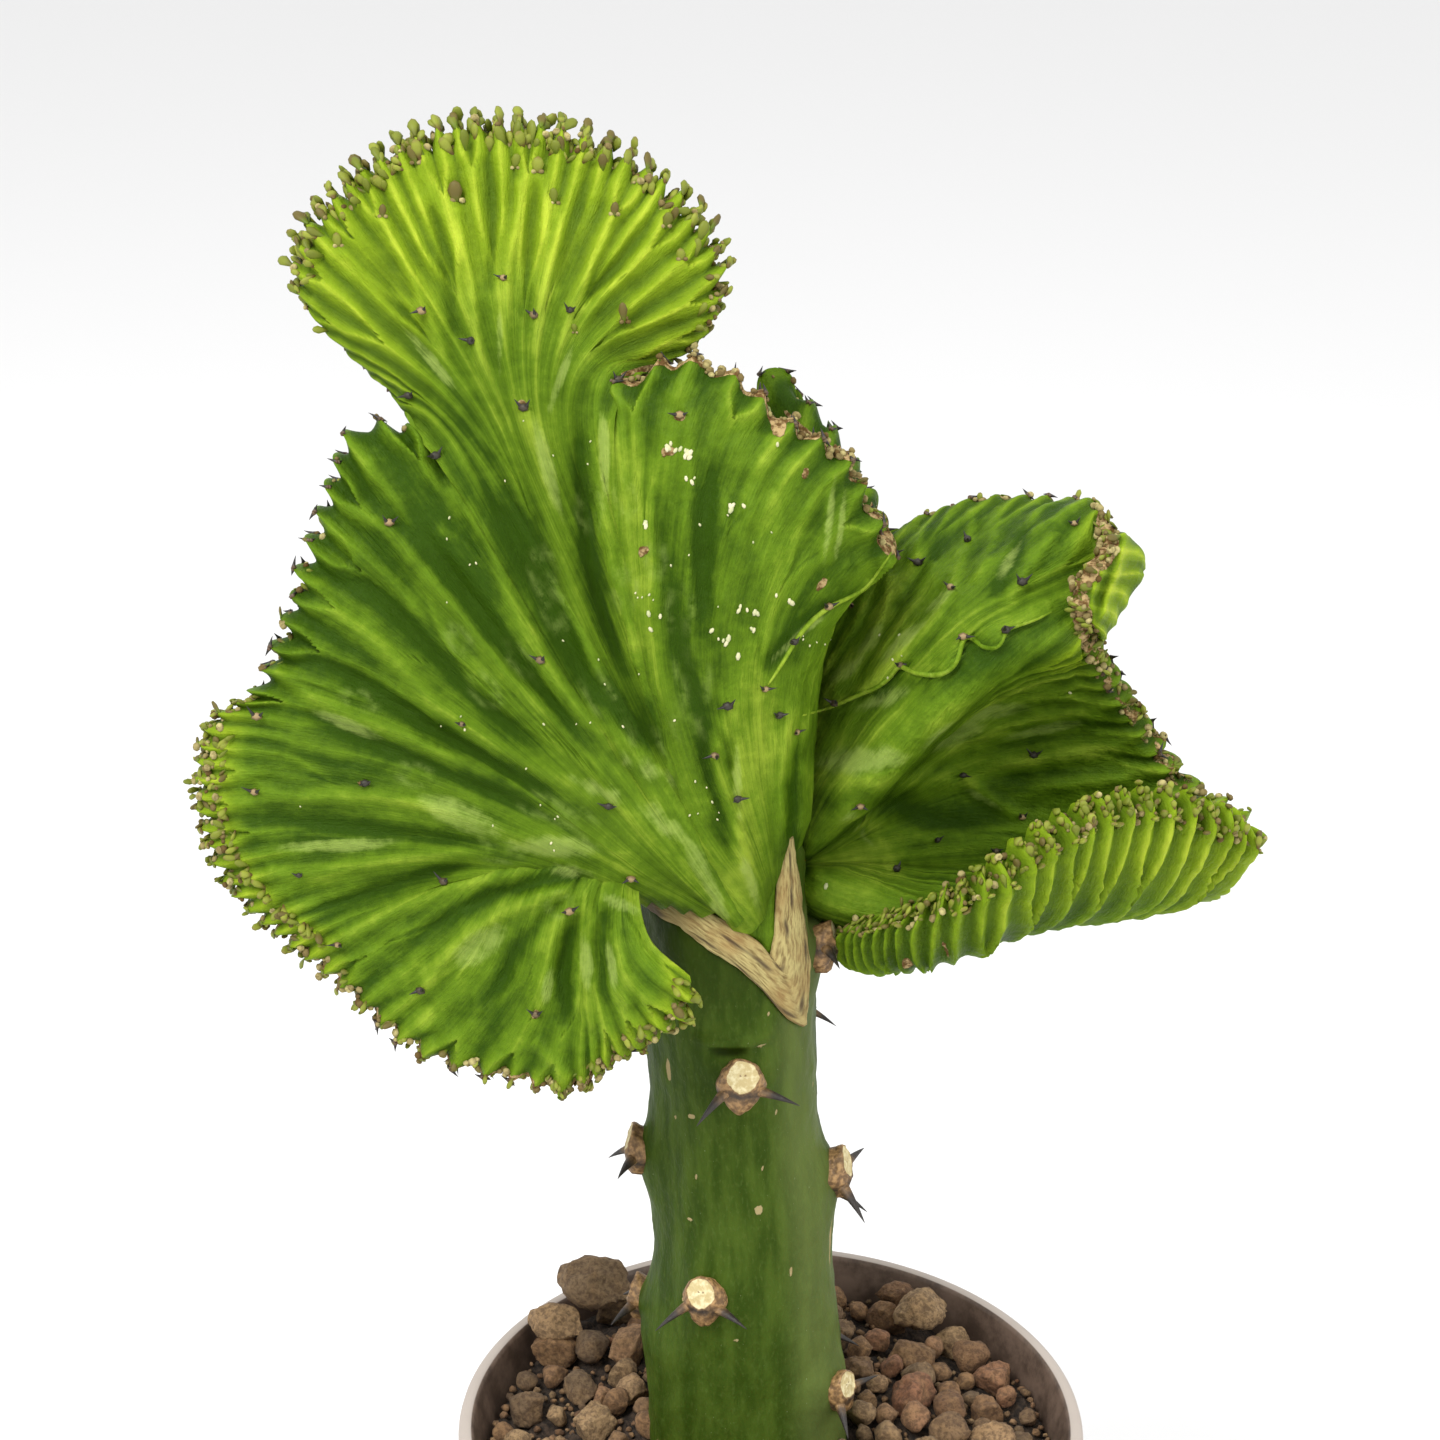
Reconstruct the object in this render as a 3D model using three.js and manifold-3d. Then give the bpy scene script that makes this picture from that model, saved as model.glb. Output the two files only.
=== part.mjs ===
// A grafted coral cactus in a round pot: a crested spurge scion, fan-shaped and pleated, set in the V cut of an
// upright green rootstock that bears pairs of spines, in a pot of soil dressed with lava stones.
// Millimetres, +Z up. The origin is the centre of the pot's flat base, where it stands.
// The natural outlines are read at the picture plane of one view (x, y of a 1440 x 1440 picture) with a depth
// in millimetres behind the pot's axis, and turned into places by sightline().
import * as THREE from "three";
import { ParametricGeometry } from "three/addons/geometries/ParametricGeometry.js";
import { mergeGeometries, mergeVertices } from "three/addons/utils/BufferGeometryUtils.js";
import Module from "manifold-3d";

const wasm = await Module();
wasm.setup();

// Driving dimensions
const POT_HEIGHT = 100;
const POT_RIM_RADIUS = 57.5;
const POT_FOOT_RADIUS = 41;
const POT_WALL = 2.4;
const POT_FLOOR = 3;
const RIM_BAND_HEIGHT = 13;
const RIM_BAND_STEP = 1.4;
const DRAIN_RADIUS = 5;
const DRAIN_CIRCLE_RADIUS = 24;
const DRAIN_COUNT = 4;
const SOIL_LEVEL = 92.5;
const GAP = 0.3;
const STONE_SEAT = 0.35;
const CALLUS_PROUD = 1.1;
const CALLUS_TOP = 221.5;

// The view that the outlines are read in
const VIEW_CENTRE = new THREE.Vector3(-9.3, 0, 238);
const VIEW_DISTANCE = 480;
const VIEW_TILT_DEG = 22;
const PIXELS_PER_MM = 6;
const PICTURE_MIDDLE = 720;

// Small tools

// A seeded random number source, so that the stones lie the same way each time.
function seededRandom(seed) {
  let state = seed >>> 0;
  return () => {
    state = (Math.imul(state, 1664525) + 1013904223) >>> 0;
    return state / 4294967296;
  };
}

function smoothstep(from, to, x) {
  const t = Math.min(Math.max((x - from) / (to - from), 0), 1);
  return t * t * (3 - 2 * t);
}

// The place on the sight line of a picture point that lies a given depth behind the pot's axis.
function sightline(px, py, back) {
  const tilt = THREE.MathUtils.degToRad(VIEW_TILT_DEG);
  const towards = new THREE.Vector3(0, -Math.cos(tilt), Math.sin(tilt));
  const up = new THREE.Vector3(0, Math.sin(tilt), Math.cos(tilt));
  const eye = VIEW_CENTRE.clone().addScaledVector(towards, VIEW_DISTANCE);
  const onPlane = VIEW_CENTRE.clone()
    .add(new THREE.Vector3((px - PICTURE_MIDDLE) / PIXELS_PER_MM, 0, 0))
    .addScaledVector(up, (PICTURE_MIDDLE - py) / PIXELS_PER_MM);
  const reach = (back - eye.y) / (onPlane.y - eye.y);
  return eye.clone().lerp(onPlane, reach);
}

function toSolid(geometry) {
  const bare = geometry.index ? geometry.toNonIndexed() : geometry.clone();
  for (const name of Object.keys(bare.attributes)) {
    if (name !== "position") bare.deleteAttribute(name);
  }
  const merged = mergeVertices(bare, 1e-3);
  const kept = [];
  for (let i = 0; i < merged.index.count; i += 3) {
    const [a, b, c] = merged.index.array.slice(i, i + 3);
    if (a !== b && b !== c && c !== a) kept.push(a, b, c);
  }
  const triVerts = new Uint32Array(kept);
  const vertProperties = merged.attributes.position.array;
  const made = new wasm.Manifold(new wasm.Mesh({ numProp: 3, vertProperties, triVerts }));
  if (made.volume() > 0) return made;
  for (let i = 0; i < triVerts.length; i += 3) {
    [triVerts[i + 1], triVerts[i + 2]] = [triVerts[i + 2], triVerts[i + 1]];
  }
  return new wasm.Manifold(new wasm.Mesh({ numProp: 3, vertProperties, triVerts }));
}

function toGeometry(solid) {
  const mesh = solid.getMesh();
  const points = new Float32Array(mesh.numVert * 3);
  for (let i = 0; i < mesh.numVert; i++) {
    points.set(mesh.vertProperties.subarray(i * mesh.numProp, i * mesh.numProp + 3), i * 3);
  }
  const geometry = new THREE.BufferGeometry();
  geometry.setAttribute("position", new THREE.BufferAttribute(points, 3));
  geometry.setIndex(new THREE.BufferAttribute(new Uint32Array(mesh.triVerts), 1));
  geometry.computeVertexNormals();
  return geometry;
}

// The largest of a solid's separate bodies, for a piece that a cut leaves crumbs of. Vertices that merge can part
// another crumb, so it is done until one body is left.
function largestBody(solid) {
  let bodies = toSolid(toGeometry(solid)).decompose();
  let body = solid;
  while (bodies.length > 1) {
    body = bodies.reduce((best, other) => (other.volume() > best.volume() ? other : best));
    bodies = toSolid(toGeometry(body)).decompose();
  }
  return body;
}

function latheAboutZ(profile, segments) {
  return new THREE.LatheGeometry(profile.map(([r, z]) => new THREE.Vector2(r, z)), segments).rotateX(Math.PI / 2);
}

// Catmull-Rom between the rows of a list, at a fractional row.
function between(rows, at, pick) {
  const last = rows.length - 1;
  const i = Math.min(Math.max(Math.floor(at), 0), last - 1);
  const t = at - i;
  const [a, b, c, d] = [i - 1, i, i + 1, i + 2].map((k) => pick(rows[Math.min(Math.max(k, 0), last)]));
  const weights = [
    ((2 - t) * t - 1) * t * 0.5,
    ((3 * t - 5) * t * t + 2) * 0.5,
    ((4 - 3 * t) * t + 1) * t * 0.5,
    (t - 1) * t * t * 0.5,
  ];
  return new THREE.Vector3()
    .addScaledVector(a, weights[0])
    .addScaledVector(b, weights[1])
    .addScaledVector(c, weights[2])
    .addScaledVector(d, weights[3]);
}

// Rootstock: the stem's middle and radius at each height, a round top that the graft cuts away, and the spine cushions

// height, middle x, middle y, radius
const STEM_STATIONS = [
  [46, -3, 0, 7],
  [60, -3, 0, 13],
  [76, -3.4, 0, 17],
  [92, -4, 0, 18.2],
  [118, -4.9, 0, 17.4],
  [140, -5, 0, 15.9],
  [166, -6.6, 0, 14.7],
  [188, -7.6, 0, 14.9],
  [206, -8, 0, 15.4],
  [228, -7.4, 0, 14.8],
];
const STEM_FOOT = 44;
const STEM_TOP = 223;
const BURIED_RINGS = 5;
const OPEN_RINGS = 26;

// Each spine cushion: height, turn about the stem in degrees (0 to the right, -90 to the viewer), size
const SPINE_CUSHIONS = [
  [178.5, -85, 1],
  [136, -112, 0.95],
  [156.5, 176, 0.95],
  [153, -8, 1],
  [196, -16, 0.9],
  [123, 168, 0.9],
  [178, 30, 0.7],
  [143, 34, 0.85],
  [170, 128, 0.95],
  [127, 100, 0.95],
  [172, 80, 0.9],
  [146, 72, 0.9],
  [112, -30, 0.85],
  [109, 48, 0.85],
];
const CUSHION_HEIGHT = 2.4;
const CUSHION_SPREAD = 5.5;

function stemAt(z) {
  const last = STEM_STATIONS.length - 1;
  let i = 0;
  while (i < last - 1 && STEM_STATIONS[i + 1][0] < z) i++;
  const t = smoothstep(STEM_STATIONS[i][0], STEM_STATIONS[i + 1][0], z);
  const [, x, y, r] = STEM_STATIONS[i].map((low, k) => THREE.MathUtils.lerp(low, STEM_STATIONS[i + 1][k], t));
  return { x, y, r };
}

function cushionSwelling(z, angle) {
  let swelling = 0;
  for (const [height, turn, size] of SPINE_CUSHIONS) {
    const across = THREE.MathUtils.degToRad(turn) - angle;
    const around = Math.atan2(Math.sin(across), Math.cos(across)) * 15;
    const along = z - height;
    const spread = along < 0 ? CUSHION_SPREAD * 1.5 : CUSHION_SPREAD;
    const fall = (around / CUSHION_SPREAD) ** 2 + (along / spread) ** 2;
    swelling += CUSHION_HEIGHT * size * Math.exp(-fall * 0.9);
  }
  return swelling;
}

function stemRadius(z, angle) {
  const fivefold = 0.35 * Math.cos(5 * angle + z * 0.02);
  return stemAt(z).r + fivefold + cushionSwelling(z, angle);
}

function stemSolid(grow) {
  const profile = [[0, STEM_FOOT - grow]];
  for (let i = 0; i < BURIED_RINGS; i++) {
    profile.push([1, THREE.MathUtils.lerp(STEM_FOOT - grow, SOIL_LEVEL, i / BURIED_RINGS)]);
  }
  for (let i = 0; i <= OPEN_RINGS; i++) {
    profile.push([1, THREE.MathUtils.lerp(SOIL_LEVEL, STEM_TOP, i / OPEN_RINGS)]);
  }
  profile.push([0, STEM_TOP + grow]);
  const geometry = latheAboutZ(profile, 24);
  const position = geometry.attributes.position;
  for (let i = 0; i < position.count; i++) {
    const z = position.getZ(i);
    const angle = Math.atan2(position.getY(i), position.getX(i));
    const onAxis = Math.hypot(position.getX(i), position.getY(i)) < 0.5;
    const r = onAxis ? 0 : stemRadius(z, angle) + grow;
    const { x, y } = stemAt(z);
    position.setXYZ(i, x + r * Math.cos(angle), y + r * Math.sin(angle), z);
  }
  return toSolid(geometry);
}

// Main roots, from the buried foot of the stem
const ROOT_COUNT = 5;
const ROOT_RADIUS = 3;

function rootSolid(index, grow) {
  const turn = (index / ROOT_COUNT) * 2 * Math.PI + 0.4;
  const reach = 24 + 5 * Math.sin(index * 2.3) + grow;
  const drop = 22 + 6 * Math.cos(index * 1.7) + grow;
  const outward = new THREE.Vector3(Math.cos(turn), Math.sin(turn), 0);
  const start = new THREE.Vector3(-3, 0, 62).addScaledVector(outward, 5);
  const route = new THREE.CatmullRomCurve3([
    start,
    start.clone().addScaledVector(outward, reach * 0.45).setZ(62 - drop * 0.35),
    start.clone().addScaledVector(outward, reach * 0.8).setZ(62 - drop * 0.7),
    start.clone().addScaledVector(outward, reach).setZ(62 - drop),
  ]);
  const section = new THREE.Shape().absarc(0, 0, ROOT_RADIUS + grow, 0, 2 * Math.PI);
  return toSolid(new THREE.ExtrudeGeometry(section, { steps: 5, curveSegments: 4, extrudePath: route }));
}

// The graft: a V cut seen from the front, in X and Z, right through the stem. The outer line is the cut in the
// stock, the inner one is where the scion begins, and the dried callus lies between them.
const CUT_OUTER = [[3.9, 187.5], [6.3, 198], [5.6, 208], [2.6, 224], [2.4, 245], [-34, 245], [-34, 210.5]];
const CUT_INNER = [[-0.8, 200], [0.9, 212], [1.2, 224], [1.2, 245], [-34, 245], [-34, 218.5], [-18.5, 211.3]];

function throughCut(outline) {
  const shape = new THREE.Shape(outline.map(([x, z]) => new THREE.Vector2(x, z)));
  const geometry = new THREE.ExtrudeGeometry(shape, { depth: 60, bevelEnabled: false });
  return toSolid(geometry.rotateX(Math.PI / 2).translate(0, 30, 0));
}

// The same outline moved outwards, for the gap between neighbours.
function grownOutline(outline, grow) {
  const middle = outline.reduce((sum, [x, z]) => [sum[0] + x / outline.length, sum[1] + z / outline.length], [0, 0]);
  return outline.map(([x, z]) => {
    const away = new THREE.Vector2(x - middle[0], z - middle[1]);
    const scale = 1 + (grow * 1.6) / away.length();
    return [middle[0] + away.x * scale, middle[1] + away.y * scale];
  });
}

// Scion: a single pleated sheet whose ribs run from the graft to the growing edge. Each row is one rib, in order
// round the fan: the growing edge (picture x, y, depth), then the middle of the rib, then, where the rib passes a
// neck or curls over before its edge, that place too.
const CREST_RIBS = [
  // lower left lobe, hanging in front of the stem
  [690, 978, -30, 648, 932, -26],
  [690, 1008, -31, 640, 950, -27],
  [655, 1036, -30, 625, 960, -26],
  [618, 1056, -28, 605, 968, -24],
  [572, 1090, -26, 580, 970, -22],
  [520, 1078, -24, 555, 960, -20],
  [460, 1066, -22, 530, 945, -18],
  [405, 1042, -20, 510, 930, -17],
  [350, 992, -18, 490, 905, -16],
  [300, 948, -16, 472, 880, -15],
  [243, 900, -14, 460, 855, -14],
  [212, 845, -13, 455, 830, -14],
  [200, 780, -12, 455, 800, -14],
  [212, 722, -11, 462, 772, -14],
  // left edge, up to the notch
  [255, 688, -10, 476, 750, -14],
  [285, 622, -9, 490, 728, -14],
  [308, 552, -8, 505, 706, -14],
  [328, 492, -7, 520, 686, -14],
  [358, 425, -6, 538, 666, -14],
  [420, 427, -5, 556, 652, -13],
  // top lobe, through its neck
  [402, 385, -2, 564, 640, -13, 436, 424, -6],
  [348, 340, 0, 570, 632, -13, 447, 416, -6],
  [297, 290, 2, 576, 626, -12, 459, 409, -6],
  [300, 235, 3, 582, 622, -12, 471, 402, -6],
  [335, 185, 4, 588, 618, -12, 483, 396, -6],
  [388, 143, 5, 594, 615, -12, 496, 391, -6],
  [452, 118, 6, 600, 613, -12, 509, 387, -6],
  [522, 115, 7, 607, 611, -12, 522, 384, -6],
  [590, 132, 7, 614, 610, -12, 536, 382, -6],
  [650, 165, 6, 621, 609, -12, 550, 380, -6],
  [700, 212, 5, 628, 608, -12, 564, 379, -6],
  [720, 272, 4, 635, 608, -12, 578, 379, -6],
  [706, 322, 3, 642, 608, -13, 592, 380, -6],
  [668, 352, 2, 648, 608, -13, 606, 382, -6],
  // dried shoulder on the right
  [622, 381, -6, 655, 609, -14],
  [680, 357, -8, 666, 610, -15],
  [735, 372, -9, 684, 614, -16],
  [790, 420, -9, 708, 622, -16],
  [846, 455, -8, 740, 634, -15],
  [890, 547, -3, 778, 662, -11],
  // pleat folded behind
  [876, 500, 12, 792, 656, 0],
  [828, 420, 22, 788, 640, 8],
  [772, 372, 27, 780, 630, 15],
  [830, 440, 33, 792, 640, 21],
  [886, 545, 33, 812, 655, 20],
  // right fan, upper edge
  [930, 522, 29, 838, 656, 16],
  [990, 503, 25, 872, 650, 11],
  [1050, 505, 20, 915, 640, 5],
  [1100, 512, 13, 958, 632, -1],
  [1106, 545, -2, 985, 640, -5, 1126, 560, 7],
  [1080, 585, -8, 1000, 652, -7, 1112, 595, 2],
  [1082, 622, -8, 990, 668, -4, 1090, 634, -4],
  [1112, 672, 1, 965, 700, 7],
  [1150, 730, 6, 955, 745, 14],
  [1190, 783, 6, 965, 790, 16],
  // lower lip, curled up towards the viewer
  [1226, 808, 2, 1000, 835, 14, 1150, 855, 11],
  [1248, 832, -6, 1005, 865, 12, 1172, 884, 5],
  [1215, 808, -14, 995, 885, 9, 1182, 893, -3],
  [1165, 798, -19, 980, 898, 5, 1145, 900, -10],
  [1110, 803, -24, 962, 907, 1, 1090, 904, -15],
  [1050, 834, -29, 942, 915, -3, 1026, 920, -20],
  [990, 878, -33, 920, 922, -7, 975, 940, -24],
  [930, 904, -35, 898, 925, -9, 925, 950, -26],
  [870, 920, -35, 868, 920, -9, 872, 950, -27],
  [822, 923, -32, 842, 908, -7, 828, 942, -25],
  [800, 915, -20, 815, 893, -3, 803, 915, -14],
];

// Where the ribs leave the graft: rib number, picture x, y, depth
const CREST_ROOTS = [
  [0, 678, 886, -11],
  [6, 700, 895, -9],
  [14, 722, 906, -8],
  [20, 740, 916, -7],
  [34, 754, 916, -6],
  [40, 766, 896, -3],
  [45, 774, 872, 2],
  [50, 776, 866, 3],
  [65, 776, 874, 1],
];
const CREST_THICKENING = 1.8;
// The ranges of ribs that are made as sheets and then joined: the front of the fan, and the pleat and the right
// fan in ranges that are too short to fold over themselves. Each has its number of columns and its half thickness
// at the graft and at the edge. Every other one is thinner, so that it ends inside its neighbours.
const CREST_SHEETS = [
  [0, 40.6, 52, 8.5, 2.3],
  [38.6, 46, 11, 3.4, 1.6],
  [44, 52.4, 14, 4.8, 2.3],
  [51, 58.5, 12, 3.4, 1.6],
  [57, 65, 13, 4.8, 2.3],
];
const SHEET_ROWS = [0, 0, 0.14, 0.3, 0.5, 0.67, 0.84, 0.95, 1];
const SIDE_SLIMMING = [0, 0.6, 0.9, 1];

function crestRoot(index) {
  let i = 0;
  while (i < CREST_ROOTS.length - 2 && CREST_ROOTS[i + 1][0] < index) i++;
  const t = smoothstep(CREST_ROOTS[i][0], CREST_ROOTS[i + 1][0], index);
  const [x, y, back] = [1, 2, 3].map((k) => THREE.MathUtils.lerp(CREST_ROOTS[i][k], CREST_ROOTS[i + 1][k], t));
  return sightline(x, y, back);
}

// The quadratic through the root, middle and edge of a rib, near its edge
const BELLY_WEIGHTS = [-0.105, 0.51, 0.595];

const crestRibs = CREST_RIBS.map((row, index) => {
  const root = crestRoot(index);
  const edge = sightline(row[0], row[1], row[2]);
  const middle = sightline(row[3], row[4], row[5]);
  const easy = new THREE.Vector3();
  [root, middle, edge].forEach((point, i) => easy.addScaledVector(point, BELLY_WEIGHTS[i]));
  const belly = row.length > 6 ? sightline(row[6], row[7], row[8]) : easy;
  return { root, middle, belly, edge };
});

// The line of a rib, at a fractional rib number: thirds of the curve reach its middle, its belly and its edge.
function ribCurve(at) {
  const points = ["root", "middle", "belly", "edge"].map((name) => between(crestRibs, at, (rib) => rib[name]));
  return new THREE.CatmullRomCurve3(points, false, "centripetal");
}

// A sheet with a swelling on both sides of its middle surface. The first and last columns and the first row lie
// on their neighbours with no thickness, which closes the sheet with blunt walls there; its outer edge is sharp.
function crestSheet([from, to, columns, rootHalf, edgeHalf]) {
  const rows = SHEET_ROWS.length - 1;
  const ribAt = (c) => {
    const along = Math.min(Math.max(c - 1, 0), columns - 2) / (columns - 2);
    return ribCurve(THREE.MathUtils.lerp(from, to, along));
  };
  const ribs = Array.from({ length: columns + 1 }, (_, c) => ribAt(c));
  const middle = new ParametricGeometry((s, t, target) => {
    target.copy(ribs[Math.round(s * columns)].getPoint(SHEET_ROWS[Math.round(t * rows)]));
  }, columns, rows);
  middle.computeVertexNormals();
  const faces = [1, -1].map((side) => {
    const face = middle.clone();
    const position = face.attributes.position;
    const normal = face.attributes.normal;
    for (let i = 0; i < position.count; i++) {
      const c = i % (columns + 1);
      const r = Math.floor(i / (columns + 1));
      const fromSide = Math.min(c, columns - c);
      const slim = SIDE_SLIMMING[Math.min(fromSide, SIDE_SLIMMING.length - 1)];
      const swell = (1 - SHEET_ROWS[r]) ** CREST_THICKENING;
      const half = r === 0 || r === rows ? 0 : slim * THREE.MathUtils.lerp(edgeHalf, rootHalf, swell);
      position.setXYZ(
        i,
        position.getX(i) + side * half * normal.getX(i),
        position.getY(i) + side * half * normal.getY(i),
        position.getZ(i) + side * half * normal.getZ(i),
      );
    }
    const index = Array.from(face.index.array);
    face.setIndex(side > 0 ? index : index.reverse());
    return face;
  });
  return toSolid(mergeGeometries(faces));
}

// Old teeth that stand out from the crest: picture x, y, depth of the tip, and of a point below it in the sheet
const CREST_TEETH = [
  [769, 348, 27, 750, 400, 22, 4.2],
  [806, 388, 24, 775, 430, 20, 4.2],
  [203, 877, 0, 262, 868, -8, 2.6],
  [232, 938, 0, 285, 912, -10, 3],
  [362, 1033, -12, 415, 1015, -16, 3.4],
  [412, 1072, -14, 455, 1045, -18, 3.4],
];

function toothSolid([px, py, back, rootX, rootY, rootBack, radius]) {
  const tip = sightline(px, py, back);
  const root = sightline(rootX, rootY, rootBack);
  const length = tip.distanceTo(root);
  const cone = new THREE.ConeGeometry(radius, length, 8).translate(0, length / 2, 0);
  const turn = new THREE.Quaternion().setFromUnitVectors(
    new THREE.Vector3(0, 1, 0),
    tip.clone().sub(root).normalize(),
  );
  return toSolid(cone.applyQuaternion(turn).translate(root.x, root.y, root.z));
}

// Pot
function potSolid() {
  const wallAt = (z) => THREE.MathUtils.lerp(POT_FOOT_RADIUS, POT_RIM_RADIUS - RIM_BAND_STEP, z / POT_HEIGHT);
  const bandFoot = POT_HEIGHT - RIM_BAND_HEIGHT;
  const profile = [
    [0, 0],
    [POT_FOOT_RADIUS - 1, 0],
    [POT_FOOT_RADIUS, 1],
    [wallAt(bandFoot), bandFoot],
    [POT_RIM_RADIUS - 0.6, bandFoot + 0.8],
    [POT_RIM_RADIUS, POT_HEIGHT - 1],
    [POT_RIM_RADIUS - 1, POT_HEIGHT],
    [POT_RIM_RADIUS - POT_WALL, POT_HEIGHT],
    [POT_RIM_RADIUS - POT_WALL - 0.8, POT_HEIGHT - 1],
    [wallAt(bandFoot) - POT_WALL, bandFoot],
    [wallAt(POT_FLOOR) - POT_WALL, POT_FLOOR],
    [0, POT_FLOOR],
  ];
  let pot = toSolid(latheAboutZ(profile, 48));
  for (let i = 0; i < DRAIN_COUNT; i++) {
    const turn = ((i + 0.5) / DRAIN_COUNT) * 2 * Math.PI;
    const drill = new THREE.CylinderGeometry(DRAIN_RADIUS, DRAIN_RADIUS, 20, 16).rotateX(Math.PI / 2);
    drill.translate(DRAIN_CIRCLE_RADIUS * Math.cos(turn), DRAIN_CIRCLE_RADIUS * Math.sin(turn), 0);
    pot = pot.subtract(toSolid(drill));
  }
  return pot;
}

// Soil, higher round the stem and heaped at the back on the left
const SOIL_MOUND = 4.5;
const SOIL_HEAP = { x: -32, y: 31, height: 4.5, spread: 15 };
const SOIL_RINGS = [49, 40, 31, 21];

function soilHeight(x, y) {
  const mound = SOIL_MOUND * (1 - smoothstep(22, 50, Math.hypot(x, y)));
  const away = Math.hypot(x - SOIL_HEAP.x, y - SOIL_HEAP.y) / SOIL_HEAP.spread;
  const waves = 0.7 * Math.sin(x * 0.21 + 1) * Math.cos(y * 0.24);
  return SOIL_LEVEL + mound + SOIL_HEAP.height * Math.exp(-away * away) + waves;
}

function soilSolid() {
  const innerWall = (z) =>
    THREE.MathUtils.lerp(POT_FOOT_RADIUS, POT_RIM_RADIUS - RIM_BAND_STEP, z / POT_HEIGHT) - POT_WALL - GAP - 0.1;
  const edge = innerWall(SOIL_LEVEL) - 0.5;
  const profile = [
    [0, POT_FLOOR + GAP],
    [innerWall(POT_FLOOR) - 0.3, POT_FLOOR + GAP],
    [edge, SOIL_LEVEL],
    ...SOIL_RINGS.map((ring) => [ring, SOIL_LEVEL]),
    [0, SOIL_LEVEL],
  ];
  const geometry = latheAboutZ(profile, 40);
  const position = geometry.attributes.position;
  for (let i = 0; i < position.count; i++) {
    const [x, y, z] = [position.getX(i), position.getY(i), position.getZ(i)];
    if (z > SOIL_LEVEL - 1 && Math.hypot(x, y) < edge - 0.5) position.setZ(i, soilHeight(x, y));
  }
  return toSolid(geometry);
}

// Lava stones lying on the soil: some in chosen places at the back, and then the rest, the largest first, each
// where it touches none of those laid before it.
const STONE_COUNT = 29;
const STONE_LARGEST = 6.2;
const STONE_SMALLEST = 3.9;
// x, y, lift above the soil, size
const CHOSEN_STONES = [
  [-29.5, 37, 1.5, 7.2],
  [-41, 24, 1, 6.2],
  [-27, 21, 0, 6],
  [-45.5, 8.5, 0, 5.2],
  [24.5, 38.5, 0, 5.4],
  [36.5, 31, 0, 4.9],
  [26.5, 22.5, 0, 5.4],
  [43.5, 18, 0, 4.9],
  [14, 31, 0, 4.6],
  [12.5, 45.5, 0, 4.2],
];

function stoneShape(random, size) {
  const geometry = new THREE.IcosahedronGeometry(1, 1);
  const stretch = [1.05 + 0.15 * random(), 0.8 + 0.15 * random(), 0.66 + 0.14 * random()];
  const waves = [0, 1, 2].map(() => [1.5 + 2 * random(), 1.5 + 2 * random(), 1.5 + 2 * random(), 6.3 * random()]);
  const position = geometry.attributes.position;
  for (let i = 0; i < position.count; i++) {
    const [x, y, z] = [position.getX(i), position.getY(i), position.getZ(i)];
    const lumps = waves.reduce((sum, [a, b, c, phase]) => sum + Math.sin(a * x + b * y + c * z + phase), 0);
    const r = size * (0.95 + 0.05 * lumps);
    position.setXYZ(i, x * r * stretch[0], y * r * stretch[1], z * r * stretch[2]);
  }
  const tumble = new THREE.Euler(0.5 * (random() - 0.5), 0.5 * (random() - 0.5), 6.3 * random());
  return geometry.applyMatrix4(new THREE.Matrix4().makeRotationFromEuler(tumble));
}

function reachOf(geometry) {
  const position = geometry.attributes.position;
  let reach = 0;
  for (let i = 0; i < position.count; i++) reach = Math.max(reach, Math.hypot(position.getX(i), position.getY(i)));
  return reach;
}

function layStones() {
  const random = seededRandom(11);
  const stones = CHOSEN_STONES.map(([x, y, lift, size]) => {
    const shape = stoneShape(random, size);
    return { shape, x, y, z: soilHeight(x, y) + size * STONE_SEAT + lift, reach: reachOf(shape) };
  });
  for (let i = 0; i < STONE_COUNT; i++) {
    const size = THREE.MathUtils.lerp(STONE_LARGEST, STONE_SMALLEST, i / STONE_COUNT);
    const shape = stoneShape(random, size);
    const reach = reachOf(shape);
    for (let attempt = 0; attempt < 600; attempt++) {
      const turn = 2 * Math.PI * random();
      const ring = THREE.MathUtils.lerp(19.5 + reach, 50.5 - reach, Math.sqrt(random()));
      const [x, y] = [-3 * (1 - ring / 50) + ring * Math.cos(turn), ring * Math.sin(turn)];
      if (stones.some((other) => Math.hypot(other.x - x, other.y - y) < other.reach + reach + GAP)) continue;
      stones.push({ shape, x, y, z: soilHeight(x, y) + size * STONE_SEAT, reach });
      break;
    }
  }
  return stones;
}

function stoneSolid({ shape, x, y, z }, scale) {
  return toSolid(shape.clone().scale(scale, scale, scale).translate(x, y, z));
}

// Spines: a horny pad on each cushion with a leaf scar and two spines
const PAD_RADIUS = 4;
const PAD_THICKNESS = 1.8;
const SPINE_LENGTH = 8.5;
const SPINE_ROOT_RADIUS = 1.5;

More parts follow.
